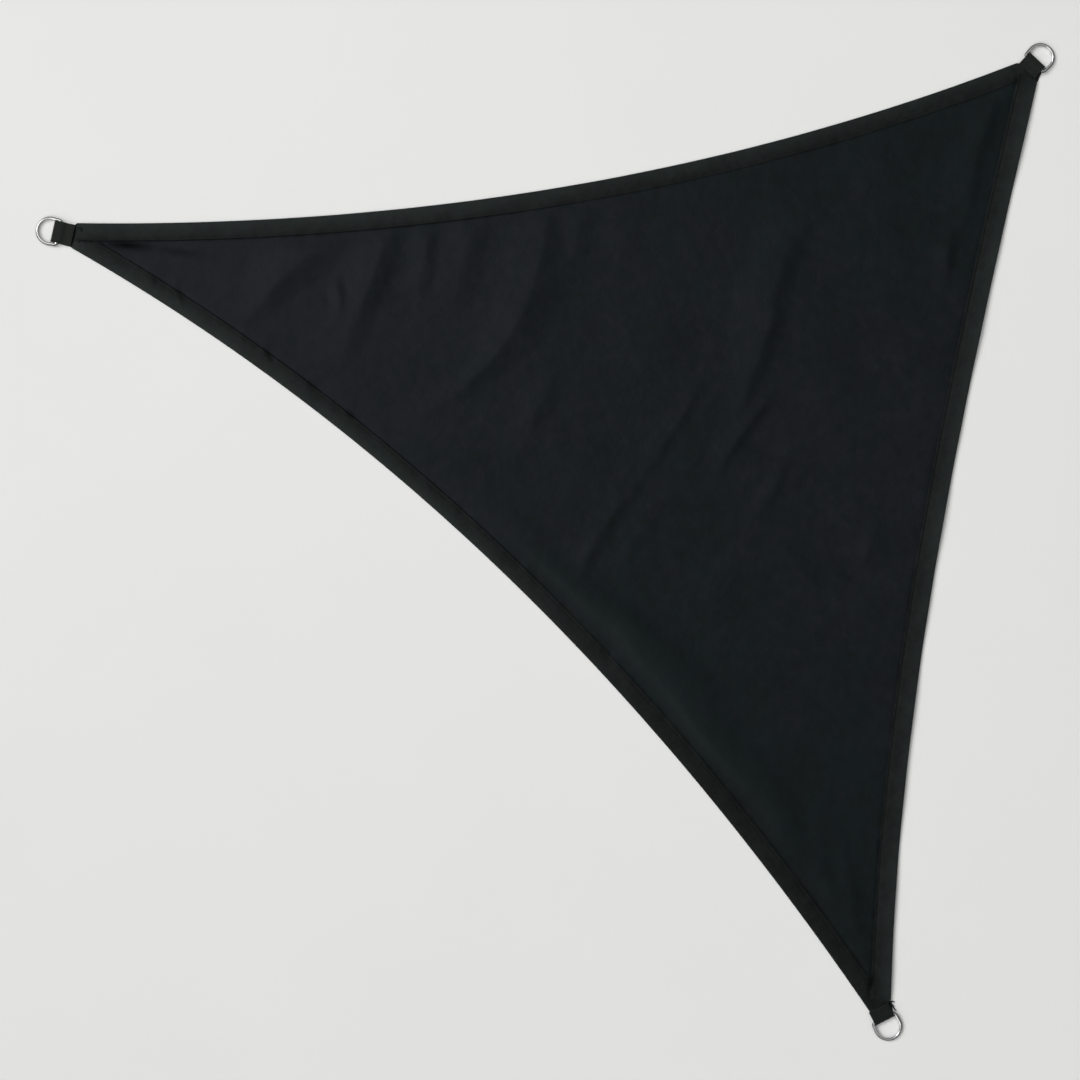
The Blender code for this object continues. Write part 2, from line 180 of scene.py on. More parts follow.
# The routes run down the sail, so that a fold's left flank is its shaded one.
FOLDS = (
    Fold("left_outer", crisp=0.4, route=(
        (-399, 603, 44, 80, 1.8), (-429, 591, 52, 94, 5.2), (-479, 567, 56, 100, 8.6),
        (-513, 537, 52, 94, 9.5), (-545, 503, 44, 80, 7.4), (-573, 471, 36, 64, 4.1),
        (-609, 439, 32, 58, 0))),
    Fold("left_inner", crisp=0.4, route=(
        (-309, 627, 32, 58, 2.5), (-321, 593, 44, 78, 6.2), (-337, 547, 46, 84, 7.7),
        (-355, 499, 44, 78, 7.4), (-377, 447, 44, 78, 5.7), (-395, 397, 40, 72, 3.5),
        (-409, 339, 36, 64, 0))),
    Fold("left_blotch", crisp=0.2, route=(
        (-423, 539, 18, 24, 0), (-415, 507, 18, 24, 3.3), (-411, 479, 18, 24, 2.8),
        (-413, 453, 18, 24, 0))),
    Fold("left_short", crisp=0.2, route=(
        (-235, 639, 28, 40, 1.6), (-237, 603, 28, 40, 3.5), (-241, 559, 28, 40, 3.5),
        (-249, 513, 28, 40, 2.5), (-261, 467, 26, 36, 0))),
    Fold("left_fourth", crisp=0.2, route=(
        (-141, 651, 40, 64, 2.2), (-149, 613, 46, 74, 4.8), (-161, 559, 46, 74, 4.1),
        (-177, 499, 44, 70, 2.7), (-197, 443, 36, 58, 0))),
    Fold("main", crisp=0.5, route=(
        (7, 667, 34, 78, 2.6), (3, 627, 40, 92, 5.1), (-7, 573, 58, 96, 7.4),
        (-21, 519, 68, 102, 8.7), (-41, 467, 74, 112, 9.2), (-67, 417, 68, 102, 8.7),
        (-101, 369, 48, 72, 7), (-137, 333, 30, 46, 5), (-173, 301, 28, 42, 3.2),
        (-217, 271, 24, 42, 1.7), (-261, 247, 20, 36, 0))),
    Fold("under_hem", crisp=0.4, route=(
        (83, 679, 40, 56, 1.6), (71, 639, 44, 62, 3.4), (61, 597, 40, 56, 3.3),
        (49, 551, 36, 50, 1.8), (35, 503, 32, 44, 0))),
    Fold("middle", crisp=0.4, route=(
        (23, 359, 28, 42, 0), (9, 315, 36, 54, 2.4), (-11, 271, 40, 60, 3.4),
        (-31, 223, 36, 54, 2.9), (-53, 177, 36, 54, 1.8), (-81, 127, 32, 48, 0))),
    Fold("beside_under_hem", crisp=0.2, route=(
        (191, 673, 28, 40, 0.6), (175, 633, 28, 40, 1.1), (155, 583, 28, 40, 0.9),
        (135, 539, 24, 36, 0))),
    Fold("thin", crisp=0.7, route=(
        (313, 339, 24, 56, 0), (295, 291, 24, 60, 2), (273, 247, 24, 60, 3), (245, 207, 20, 60, 3),
        (221, 165, 20, 56, 1.8), (191, 123, 20, 60, 1.6), (159, 83, 24, 64, 3),
        (125, 37, 28, 68, 3.6), (95, -9, 32, 52, 3.6), (77, -47, 32, 44, 3.4), (67, -77, 24, 36, 0))),
    Fold("thin_beside", crisp=0.3, route=(
        (247, 107, 24, 40, 0), (221, 63, 28, 44, 1.2), (193, 23, 32, 52, 1.8),
        (167, -17, 32, 52, 1.5), (139, -61, 24, 38, 0))),
    Fold("long", crisp=0.3, route=(
        (543, 715, 40, 88, 0), (523, 667, 44, 102, 2.5), (499, 613, 44, 106, 4.8),
        (475, 553, 40, 106, 5.9), (457, 489, 36, 96, 6), (447, 427, 36, 88, 6.3),
        (427, 367, 32, 80, 5.4), (407, 313, 26, 62, 3.1), (395, 275, 18, 44, 1.3))),
    Fold("long_end", crisp=0.7, route=(
        (455, 303, 22, 50, 0), (437, 275, 22, 64, 3), (413, 243, 22, 68, 5.1),
        (387, 207, 22, 64, 4.8), (363, 167, 22, 56, 2.8), (339, 123, 20, 44, 0))),
    Fold("short_right", crisp=0.5, route=(
        (483, 167, 24, 44, 0), (469, 131, 24, 44, 2.5), (451, 95, 24, 44, 2.8),
        (427, 59, 28, 50, 1.5), (395, 23, 24, 44, 0))),
    Fold("low_inner", crisp=0.3, route=(
        (399, 43, 32, 32, 0), (387, -13, 36, 36, 0.8), (363, -65, 40, 36, 1),
        (327, -109, 36, 36, 0.6), (291, -141, 32, 32, 0))),
    # Its high parts carry a painted highlight.
    Fold("beside_hem", crisp=0.0, route=(
        (-181, 109, 44, 26, 0), (-117, 55, 52, 28, 2.2), (-61, 9, 56, 30, 3.6),
        (-9, -39, 56, 32, 5.2), (35, -79, 52, 34, 6.6), (79, -119, 56, 36, 7.8),
        (117, -149, 64, 42, 9.4), (151, -175, 64, 48, 10.8), (177, -207, 80, 46, 11),
        (197, -237, 92, 42, 10.6), (239, -279, 92, 44, 10), (277, -327, 88, 40, 9.4),
        (309, -379, 84, 34, 8.6), (349, -423, 80, 36, 7.6), (393, -465, 80, 40, 6.4),
        (433, -509, 72, 44, 5.4), (469, -557, 60, 42, 4.4), (499, -611, 44, 34, 1.6),
        (537, -659, 44, 36, 1.2), (579, -699, 52, 46, 2.6), (607, -739, 44, 44, 1.5),
        (629, -785, 32, 32, 0)), paler=1.0),
    Fold("right_upper", crisp=0.4, route=(
        (911, 899, 22, 40, 0), (893, 867, 26, 52, 3.4), (877, 823, 30, 60, 4.4),
        (863, 773, 30, 64, 3.7), (853, 719, 30, 64, 3.2), (841, 663, 30, 60, 2.1),
        (827, 611, 26, 48, 0))),
    Fold("right_dent", crisp=0.5, route=(
        (817, 631, 22, 38, 0), (807, 591, 22, 40, 3.1), (803, 555, 22, 40, 3.6),
        (795, 515, 22, 38, 0))),
    Fold("right_faint", crisp=0.3, route=(
        (723, 611, 36, 48, 0), (709, 559, 36, 48, 1.2), (697, 507, 36, 48, 1.2),
        (683, 447, 36, 48, 0))),
    Fold("right_short", crisp=0.5, route=(
        (675, 67, 20, 32, 0), (661, 27, 20, 36, 1.5), (647, -13, 20, 36, 1.3), (631, -57, 20, 32, 0))),
    Fold("low_corner", crisp=0.4, route=(
        (587, -569, 28, 34, 0), (601, -641, 28, 34, 1.4), (611, -701, 28, 34, 2.4),
        (619, -761, 24, 28, 1.4), (627, -813, 20, 24, 0))),
    Fold("low_corner_left", crisp=0.3, route=(
        (535, -577, 32, 32, 0), (551, -641, 36, 36, 1.2), (571, -701, 32, 36, 1.5),
        (591, -753, 24, 28, 0))),
    Fold("top_lip", crisp=0.3, route=(
        (-889, 609, 18, 20, 1), (-853, 605, 18, 20, 3), (-817, 601, 20, 20, 3.2),
        (-785, 601, 20, 20, 1.8), (-745, 601, 20, 20, 0))),
    Fold("low_buckle_first", crisp=0.5, route=(
        (-793, 559, 12, 16, 0), (-785, 537, 12, 18, 1.5), (-777, 515, 12, 16, 1.3),
        (-769, 495, 10, 12, 0))),
    Fold("low_buckle_second", crisp=0.5, route=(
        (-745, 539, 12, 18, 0), (-737, 513, 12, 20, 2), (-731, 487, 12, 20, 2.2),
        (-725, 459, 12, 16, 1))),
    Fold("low_buckle_third", crisp=0.5, route=(
        (-565, 415, 12, 16, 0), (-557, 387, 12, 18, 1.6), (-551, 361, 12, 18, 2),
        (-545, 335, 12, 16, 1))),
    Fold("low_bright_first", crisp=0.4, route=(
        (-853, 583, 12, 16, 0), (-835, 567, 14, 18, 1.4), (-817, 547, 12, 16, 0))),
    Fold("low_bright_second", crisp=0.4, route=(
        (-677, 447, 14, 16, 0), (-661, 427, 16, 18, 1.6), (-645, 407, 14, 16, 0))),
    Fold("low_bright_third", crisp=0.4, route=(
        (-429, 267, 14, 16, 0), (-411, 247, 16, 18, 1.6), (-393, 227, 14, 16, 0))),
)

TAILS = (
    Tail("lower_bunch", 0.0026, 0.0040,
         ((0.6915, -0.9222), (0.6948, -0.9262), (0.6978, -0.9322), (0.7024, -0.9372))),
    Tail("lower_strand", 0.0013, 0.0030, ((0.6905, -0.9250), (0.6956, -0.9306), (0.7004, -0.9384))),
    Tail("lower_nub", 0.0026, 0.0040, ((0.6915, -0.9180), (0.6955, -0.9190), (0.6994, -0.9199))),
    Tail("lower_fibre", 0.0004, 0.0030,
         ((0.6942, -0.9400), (0.7014, -0.9458), (0.7076, -0.9562), (0.7098, -0.9652),
          (0.7102, -0.9780))),
    Tail("upper_fibre", 0.0007, 0.0050, ((0.9665, 0.9740), (0.9700, 0.9800), (0.9738, 0.9852))),
    Tail("upper_nub", 0.0012, 0.0030, ((0.9830, 0.9232), (0.9862, 0.9212), (0.9880, 0.9206))),
    Tail("left_nub", 0.0010, 0.0030, ((-0.9840, 0.6020), (-0.9880, 0.6008), (-0.9900, 0.5995))),
    Tail("left_fray", 0.0020, 0.0040, ((-0.9690, 0.6385), (-0.9712, 0.6418), (-0.9726, 0.6438))),
)

PINCHES = (
    Pinch((-0.9418, 0.6121), 76, 0.023, 0.0027, depth=1.4),  # at the left tab's end, a painted shadow of the webbing's cut end
    Pinch((-0.9300, 0.6272), 0, 0.005, 0.0020, depth=0.8),
    Pinch((-0.9253, 0.6232), 90, 0.004, 0.0020, depth=0.8),
    Pinch((-0.835, 0.593), -5, 0.046, 0.0090, depth=0.9),  # under the top hem
    Pinch((-0.732, 0.579), -8, 0.044, 0.0080, depth=0.4),
    Pinch((0.943, 0.922), 60, 0.012, 0.0060, depth=0.6),  # in the upper corner
    Pinch((0.651, -0.880), 80, 0.022, 0.0050, depth=0.9),  # in the lower corner
    Pinch((-0.781, 0.523), -65, 0.012, 0.0060, depth=0.5),  # along the low hem
    Pinch((-0.729, 0.493), -60, 0.018, 0.0065, depth=0.55),
    Pinch((-0.553, 0.373), -62, 0.020, 0.0055, depth=0.55),
    Pinch((-0.469, 0.313), -50, 0.014, 0.0060, depth=0.4),
    Pinch((-0.389, 0.255), -45, 0.014, 0.0060, depth=0.5),
)

# What changes by chance along the hems: (seed, pitch) of its waves.
WANDERS = {
    "crown": (11, 0.055), "swell": (21, 0.045), "lean": (31, 0.09), "fine_gathers": (41, 0.012),
    "gathers": (51, 0.024), "broad_gathers": (71, 0.055), "fine_shade": (61, 0.013),
    "broad_shade": (81, 0.09), "groove_width": (91, 0.045), "groove_place": (101, 0.017),
    "paler": (111, 0.06),
}

GAP = 0.0003  # between pieces that touch on the real sail
TONGUE_WIDTH = 0.0385  # of the cloth's tip, inside the tab
TONGUE_ROOT = 0.002  # from the webbing's cut end to the bend where the tip narrows
TAB_SLOPE = 0.45  # the share of a tab behind its bar in which the upper layer comes down to the cloth
BAR_BACK = 0.018  # from the bow's centre back to the ring's bar
TAB_LAYER = 0.0015  # the webbing's thickness
CLOTH_LAYER = 0.0012  # the cloth's
HELD_HEIGHT = TAB_LAYER + GAP + 2 * CLOTH_LAYER + GAP  # of a tab's lower layer and the cloth on it
TAB_HALF_REACH = 0.043  # to either side of a tab's middle, past the cloth that it holds
SELVEDGE = 0.0004  # how round the webbing's selvedges and cut ends are
BOX_PITCH = 0.0034  # of the tabs' stitching
BOX_INSET = 0.004  # from that stitching to the webbing's sides
BOX_ENDS = (0.0035, 0.0005)  # and to its cut ends, and to the foot of its slope
BOX_ABOVE = 0.0001  # from the webbing up to the middle of the thread
SEAM_ROOM = 0.004  # from a hem's stitching to another hem that lies over it
RIM_ROOM = 0.008  # and to another edge of the cloth
TAB_ROOM = 0.003  # and to a tab
FOLD_STEP = 0.012  # between the points of a fold's crest
TAIL_STEP = 0.0015  # between the points of a thread end
HEM_HOLD = 0.35  # the share of a fold's height that is left on the hems
HEM_HOLD_REACH = 0.034  # over which a fold comes down to that
LIFT_PAST = 0.011  # how far past the webbing's cut end the cloth stays up
LIFT_FADE = 0.11  # over which it then comes down to the surface
LOOSE_REACH = 0.08  # from the rim in to where the cloth's slow waves are at their full height
SWELL_RISE = 0.013  # from a hem's inner edge to the highest part of the swell beyond it
SWELL_FALL = 2.2  # how many times as long the swell takes to come down
TAB_CLEAR = (0.002, 0.02)  # from a tab's cut end to the first gathers, and over how far they grow
SHADE_CLEAR = (0.012, 0.06)  # and the same for the grooves' painted shade
GATHER_INWARD = 0.016  # how far the gathers reach from the stitching, away from the edge
GATHER_OUTWARD = 0.010  # and towards it
SEAM_DENT = 0.0006  # how deep the stitching sinks
SEAM_HALF = 0.0014  # half the width of the dent about it
PINCH_DEPTH = 0.0008  # of a pinched crease whose own depth is 1
LIP_OVERHANG = 0.0009  # how far a hem's inner edge overhangs the cloth
LIP_HALF = 0.0005  # half the width of the strip that slides out for it
LIP_FIRST = 0.0003  # from the hem's width in to that strip
SOFT_STEP = 0.0030  # the width of a step that is too soft to overhang much
CROSSING_STEP = 0.022  # the width of a hem's step where another hem covers it
HIGHLIGHT_FROM = 0.002  # the height from which a fold carries its painted highlight
HIGHLIGHT_RISE = 0.008  # from there up to where it is palest
PALE_REACH = 0.036  # from the edge in to where a hem is no longer paler

# The rows of points across a hem: from the edge in, about the stitching and about the hem's width.
HEM_ROWS = (0.0005, 0.0014, 0.004, 0.009, 0.0145, 0.020, 0.0255)
SEAM_ROWS = (-0.0022, -0.0011, 0.0, 0.0012, 0.0028)
LIP_ROWS = (-0.0003, 0.0003, 0.0014, 0.0035, 0.0070, 0.0115, 0.0170, 0.0235)
ROW_ROOM = 0.0012  # that one hem's rows leave about another's inner edge

# The studio's lights: (name, kind, place, size or angle, power).
LIGHTS = (
    ("window_light", "SUN", (-4.7, 2.3, 4.0), 0.5, 1.65),
    ("low_window_light", "SUN", (-3.6, -3.2, 3.6), 0.8, 0.9),
    ("corner_light", "AREA", (-1.4, 1.3, 3.4), 1.6, 20.0),
)
ROOM_LIGHT = 0.55
WALL_COLOUR = (1.2, 1.2, 1.19)
VIEW_CENTRE = (-0.0102, 0.0038)
FLOOR_SIDE = 60.0
FLOOR_HEIGHT = -0.0002


# ---- properties --------------------------------------------------------------------------------

def length(name, default, description):
    return FloatProperty(name=name, description=description, default=default, min=0.0, unit="LENGTH",
                         precision=4)


def colour(name, default, description):
    return FloatVectorProperty(name=name, description=description, default=default, min=0.0, max=1.0,
                               subtype="COLOR")


class ClothSettings(bpy.types.PropertyGroup):
    thickness: length("Thickness", CLOTH_LAYER, "One layer of the cloth")
    fold_radius: length("Fold radius", 0.0014, "The roundness of the hems' outer folds")
    field_spacing: length("Field spacing", 0.0058, "Between points of the mesh in the folds")
    hem_spacing: length("Hem spacing", 0.0060, "Between points of the mesh along the hems")
    unevenness: length("Unevenness", 0.0012, "The height of the slow waves in the cloth")
    colour: colour("Cloth colour", (0.0018, 0.0047, 0.0055), "The dyed cloth")
    # Painted light: the paler tone that the cloth gets towards the left, where the lamps are, and in
    # random patches.
    paler_lit_colour: colour("Paler lit colour", (0.0043, 0.0059, 0.0087), "The cloth where painted light makes it paler, and in paler patches")
    hem_colour: colour("Hem colour", (0.0056, 0.0080, 0.0076), "The doubled cloth of the hems")
    # A painted highlight on the high parts of a fold.
    highlight_colour: colour("Highlight colour", (0.0050, 0.0100, 0.0098), "The cloth on a high fold's crest")
    roughness: FloatProperty(name="Roughness", description="How matte the cloth is", default=0.60,
                             min=0.0, max=1.0, subtype="FACTOR")


class TabSettings(bpy.types.PropertyGroup):
    width: length("Width", 0.043, "Across the webbing")
    fold_width: length("Folded width", 0.0428, "Across the webbing where it turns inside the ring")
    drawn_in: length("Drawn in over", 0.009, "From the turn back to the full width")
    colour: colour("Webbing colour", (0.0056, 0.0078, 0.0070), "The dyed webbing")
    worn_colour: colour("Worn colour", (0.0128, 0.0150, 0.0132), "The webbing where it has worn pale")


class RingSettings(bpy.types.PropertyGroup):
    wire: length("Wire", 0.006, "Across the round wire")
    bow_radius: length("Bow radius", 0.0255, "From the bow's centre to the middle of the wire")
    bar_half: length("Half the bar", 0.0248, "From the bar's middle to the middle of a leg")
    corner_radius: length("Corner radius", 0.004, "Where the legs meet the bar")
    colour: colour("Steel colour", (0.62, 0.63, 0.63), "The polished wire")


class ThreadSettings(bpy.types.PropertyGroup):
    diameter: length("Diameter", 0.0007, "Of the sewing thread")
    stitch: length("Stitch", 0.0043, "The length of thread that shows in one stitch")
    pitch: length("Pitch", 0.0058, "From one stitch to the next")
    colour: colour("Thread colour", (0.0060, 0.0080, 0.0078), "The dyed thread")


class StageSettings(bpy.types.PropertyGroup):
    view_width: length("View width", 2.16, "The width of floor that the camera sees")
    camera_height: length("Camera height", 4.2, "From the floor to the camera")
    floor_colour: colour("Floor colour", (0.80, 0.80, 0.79), "The plain floor")


SETTINGS = (
    ("sail_cloth", ClothSettings),
    ("sail_tabs", TabSettings),
    ("sail_rings", RingSettings),
    ("sail_thread", ThreadSettings),
    ("sail_stage", StageSettings),
)


# ---- shading -----------------------------------------------------------------------------------

class Value:
    """A number in a shader. Sums and products of values add their Math nodes."""

    def __init__(self, shading, socket):
        self.shading = shading
        self.socket = socket

    def maths(self, operation, *terms):
        return self.shading.node("Math", {"operation": operation}, dict(enumerate(terms)))

    def __add__(self, other):
        return self.maths("ADD", self, other)

    def __mul__(self, other):
        return self.maths("MULTIPLY", self, other)

    def __sub__(self, other):
        return self.maths("SUBTRACT", self, other)

    def __rsub__(self, other):
        return self.maths("SUBTRACT", other, self)

    __radd__ = __add__
    __rmul__ = __mul__

    def wave(self):
        return self.maths("SINE", self)

    def beyond(self, limit):
        return self.maths("MAXIMUM", self, limit) - limit


class Shading:
    """The nodes of one material, or of the room's light."""

    def __init__(self, owner, surface):
        owner.use_nodes = True
        self.owner = owner
        self.tree = owner.node_tree
        self.surface = self.tree.nodes[surface]

    def node(self, kind, settings=None, sockets=None, output=0):
        """Adds a node: its settings first, such as an operation or a ramp's stops, then its sockets."""
        made = self.tree.nodes.new("ShaderNode" + kind)
        for setting, chosen in (settings or {}).items():
            if setting == "stops":
                for stop, (position, shade) in zip(made.color_ramp.elements, chosen):
                    stop.position = position
                    stop.color = (*(shade if hasattr(shade, "__len__") else (shade,) * 3), 1.0)
            else:
                setattr(made, setting, chosen)
        for socket, given in (sockets or {}).items():
            self.join(given, made.inputs[socket])
        return Value(self, made.outputs[output])

    def join(self, given, socket):
        if isinstance(given, Value):
            self.tree.links.new(given.socket, socket)
        elif socket.type == "RGBA":
            socket.default_value = (*given, 1.0)
        else:
            socket.default_value = given

    def set(self, socket, given):
        self.join(given, self.surface.inputs[socket])

    def place(self, scale=(1, 1, 1), turn_deg=0.0, uv_map=None):
        """Where a point lies: on the piece's own UV map, or else in the sail's frame."""
        spot = (self.node("UVMap", {"uv_map": uv_map}) if uv_map
                else self.node("TexCoord", output="Object"))
        turn = (0, 0, math.radians(turn_deg))
        return self.node("Mapping", None, {"Vector": spot, "Scale": scale, "Rotation": turn})

    def parts(self, place):
        """The X and the Y of a place."""
        return [self.node("SeparateXYZ", None, {"Vector": place}, output=axis) for axis in "XY"]

    def mark(self, name):
        """How strongly the piece's mesh is marked, from its attribute of that name."""
        return self.node("Attribute", {"attribute_name": name}, output="Fac")

    def noise(self, scale, detail=2.0, roughness=0.5, **place):
        """Soft spots, by a scale for all three ways or for each."""
        scale = scale if hasattr(scale, "__len__") else (scale,) * 3
        return self.node("TexNoise", None, {"Vector": self.place(scale, **place), "Scale": 1.0,
                                            "Detail": detail, "Roughness": roughness})

    def ramp(self, value, *stops):
        return self.node("ValToRGB", {"stops": stops}, {"Fac": value})

    def tones(self, value, colour, *stops):
        """Shades of one colour, each stop with a factor of it."""
        return self.ramp(value, *((position, shade_of(colour, factor)) for position, factor in stops))

    def mix(self, factor, first, second):
        """A colour between two others. The node's own colours and result go by number."""
        return self.node("Mix", {"data_type": "RGBA"}, {0: factor, 6: first, 7: second}, output=2)

    def bump(self, height, distance, strength=1.0, **normal):
        return self.node("Bump", None, {"Height": height, "Distance": distance, "Strength": strength,
                                        **normal})

    def paint_shade(self, factor, colour):
        """Paints shade: turns the surface into a dull, dark one by a factor, as at the bottom of a
        groove.
        """
        deep = self.node("BsdfPrincipled", None,
                         {"Base Color": colour, "Roughness": 1.0, "Specular IOR Level": 0.0})
        clean = Value(self, self.surface.outputs["BSDF"])
        mixed = self.node("MixShader", None, {0: factor, 1: clean, 2: deep})
        self.join(mixed, self.tree.nodes["Material Output"].inputs["Surface"])


def shade_of(colour, factor):
    return tuple(part * factor for part in colour)


def finish(name, **fixed):
    """A new material. What is the same all over it is set on its shader's own sockets."""
    made = Shading(bpy.data.materials.new(name), "Principled BSDF")
    for socket, number in fixed.items():
        made.set(socket.replace("_", " ").title().replace("Ior", "IOR"), number)
    return made


def cloth_material(settings):
    """Closely woven cloth: crossed threads, soft slubs, painted shade in the grooves, painted light that
    makes it paler towards the left, and a painted highlight on a high fold.
    """
    cloth = finish("woven_cloth", roughness=settings.roughness, specular_ior_level=0.13,
                   sheen_weight=0.02, sheen_roughness=0.4)
    per_thread = math.tau / 0.0011
    u, v = cloth.parts(cloth.place(uv_map="grain"))
    threads = (u * per_thread).wave() * (v * per_thread).wave()
    warp, weft = (cloth.noise(scale, 1.0, uv_map="grain") for scale in ((900, 60, 1), (60, 900, 1)))
    slubs = warp + weft
    clouds = cloth.noise(9, 3.0, 0.6)
    dents = cloth.noise(34, 3.0, 0.55)
    lint = cloth.noise(110, 2.0, 0.6)
    mottle = 0.45 * clouds + 0.35 * dents + 0.2 * lint
    fluff = 0.25 * clouds + 0.4 * dents + 0.35 * lint
    groove, hem, pale = (cloth.mark(name) for name in ("groove", "hem", "pale"))

    # Painted light: the cloth is paler towards the left, where the lamps are, and darker to the right of
    # the middle, in the upper right corner and at the bottom. It also changes hue, and has random paler
    # patches.
    across, upward = cloth.parts(cloth.place())
    inland = across * 0.5 - across.beyond(0.25) * 1.3 - upward * 0.35 + upward.beyond(0.4) * 0.35
    corners = (across * upward).beyond(0.15) * 1.6 + (0 - upward).beyond(0.25) * 0.8
    patches = cloth.noise(8, 3.0, turn_deg=30) * 1.3 + cloth.noise(42, turn_deg=50) * 1.2
    shade_and_patches = cloth.ramp((inland + corners + patches) * 0.5, (0.46, 0.0), (0.72, 1.0))
    paler_lit_tone, dyed = (cloth.tones(mottle, tint, (0.38, 0.75), (0.62, 1.25))
                   for tint in (settings.paler_lit_colour, settings.colour))
    # A painted highlight on the high parts of the fold beside the low hem.
    plain = cloth.mix(0.6 * pale, cloth.mix(shade_and_patches, paler_lit_tone, dyed), settings.highlight_colour)
    hemmed = cloth.tones(0.65 * pale + 1.2 * fluff - 0.37, settings.hem_colour, (0.0, 0.04), (1.0, 2.2))
    cloth.set("Base Color", cloth.mix(hem, plain, hemmed))
    cloth.set("Roughness", 0.10 * slubs + 0.16 * mottle + (settings.roughness - 0.17))
    woven = cloth.bump(slubs, 0.00012, 0.6, Normal=cloth.bump(threads, 0.00005, 0.35))
    cloth.set("Normal", cloth.bump(dents, 0.0017, Normal=woven))
    # Painted shade in the grooves beside the hems and in the pinched creases.
    cloth.paint_shade(groove, shade_of(settings.hem_colour, 0.25))
    return cloth.owner


def webbing_material(settings):
    """Heavy webbing: ribs across it in short diagonal steps."""
    webbing = finish("ribbed_webbing", roughness=0.8, specular_ior_level=0.18, sheen_weight=0.05,
                     sheen_roughness=0.5)
    across, along = webbing.parts(webbing.place(uv_map="grain"))
    ribs = (along * (math.tau / 0.0021) + (across * (math.tau / 0.0042)).wave() * 0.8).wave()
    ends = (across * (math.tau / 0.0013)).wave()
    fuzz = webbing.noise(700, 3.0)
    tone = 0.2 * ribs + 0.12 * ends + 0.5 * fuzz + 0.9 * webbing.noise(170) - 0.2
    woven, paler = (webbing.tones(tone, tint, (0.0, 0.4), (1.0, 1.6))
                     for tint in (settings.colour, settings.worn_colour))
    plain = webbing.mix(webbing.mark("worn"), woven, paler)
    # The cut ends are painted paler: a painted highlight where the light catches them, and their melted
    # edge.
    webbing.set("Base Color", webbing.mix(webbing.mark("lit_sealed_end"), plain, shade_of(settings.colour, 1.9)))
    webbing.set("Normal", webbing.bump(ribs + 0.5 * ends + fuzz, 0.0003, 0.8))
    return webbing.owner


def thread_material(settings):
    """Twisted sewing thread."""
    thread = finish("sewing_thread", roughness=0.6, specular_ior_level=0.14, sheen_weight=0.02)
    thread.set("Base Color", thread.tones(thread.noise(1500), settings.colour, (0.3, 0.7), (0.7, 1.3)))
    return thread.owner


def steel_material(settings):
    """Polished steel wire, with drawing lines, a few dull spots, and a painted dark reflection on its
    outer flank.
    """
    steel = finish("polished_steel", metallic=1.0)
    marks = steel.noise(300, 4.0)
    dull = steel.noise(60)
    flank_shade = steel.ramp(steel.mark("flank") + 0.5 * dull - 0.25, (0.05, 0.0), (0.45, 0.78))
    steel.set("Base Color", steel.tones(dull, settings.colour, (0.35, 0.85), (0.65, 1.0)))
    steel.set("Roughness", 0.12 * marks + 0.16)
    steel.set("Normal", steel.bump(marks, 0.00004, 0.3))
    # Painted dark reflection, darkest at the wire's side.
    steel.paint_shade(flank_shade, shade_of(settings.colour, 0.03))
    return steel.owner


def floor_material(settings):
    """A plain, pale floor with the faintest clouding."""
    floor = finish("pale_floor", roughness=0.75, specular_ior_level=0.2)
    clouds = floor.noise(2.2, 5.0, 0.6)
    floor.set("Base Color", floor.tones(clouds, settings.floor_colour, (0.3, 0.985), (0.7, 1.0)))
    return floor.owner


def light_room():
    """A white ceiling over walls that grow dark towards the floor, for the steel to mirror. The camera
    sees the walls as pale as the floor."""
    room = Shading(bpy.data.worlds.new("studio"), "Background")
    way = room.node("TexCoord", output="Generated")
    height = room.node("SeparateXYZ", None, {"Vector": way}, output="Z")
    mirrored = room.ramp(height, (0.35, 0.05), (0.80, 1.0))
    seen_directly = room.node("LightPath", output="Is Camera Ray")
    room.set("Color", room.mix(seen_directly, mirrored, WALL_COLOUR))
    room.set("Strength", ROOM_LIGHT)
    return room.owner


# ---- measuring on the sail ---------------------------------------------------------------------

def smooth(part):
    """Runs softly from 0 to 1 as part does, and stays there outside."""
    part = np.clip(part, 0.0, 1.0)
    return part * part * (3 - 2 * part)


def wander(what, number, along):
    """Values from -1 to 1 that change smoothly by chance along an edge, given by its number."""
    seed, pitch = WANDERS[what]
    knots = np.random.default_rng(seed + number).uniform(-1, 1, 1024)
    place = np.asarray(along) / pitch + 64
    step = np.floor(place).astype(int)
    part = smooth(place - step)
    return knots[step % 1024] * (1 - part) + knots[(step + 1) % 1024] * part


def between(ends, part):
    """A value that changes from one to the other along the middle of an edge."""
    return ends[0] + (ends[1] - ends[0]) * smooth((part - 0.25) / 0.4)


def heading(degrees):
    """The unit vector of a direction, anticlockwise from +X."""
    angle = math.radians(degrees)
    return np.array((math.cos(angle), math.sin(angle)))


def edge_frame(edge):
    """An edge's start, unit direction, unit normal into the cloth, and length."""
    start = np.array(edge.start)
    chord = np.array(edge.end) - start
    run = math.hypot(*chord)
    along = chord / run
    return start, along, np.array((along[1], -along[0])), run


def edge_offset(edge, part):
    """How far the edge lies inside its chord, and the cosine of its slope, at a part of the chord."""
    run = edge_frame(edge)[3]
    bow = 4 * edge.sagitta * part * (1 - part)
    lean = 1 + edge.skew * (2 * part - 1)
    slope = 4 * edge.sagitta * (1 - 2 * part) * lean + 2 * edge.skew * bow
    return bow * lean, 1 / np.hypot(1, slope / run)


def edge_points(edge, parts, depth=0.0):
    """Points that lie the given depth inside the edge."""
    start, along, inward, run = edge_frame(edge)
    offset, cosine = edge_offset(edge, parts)
    return start + np.outer(parts * run, along) + np.outer(offset + depth / cosine, inward)


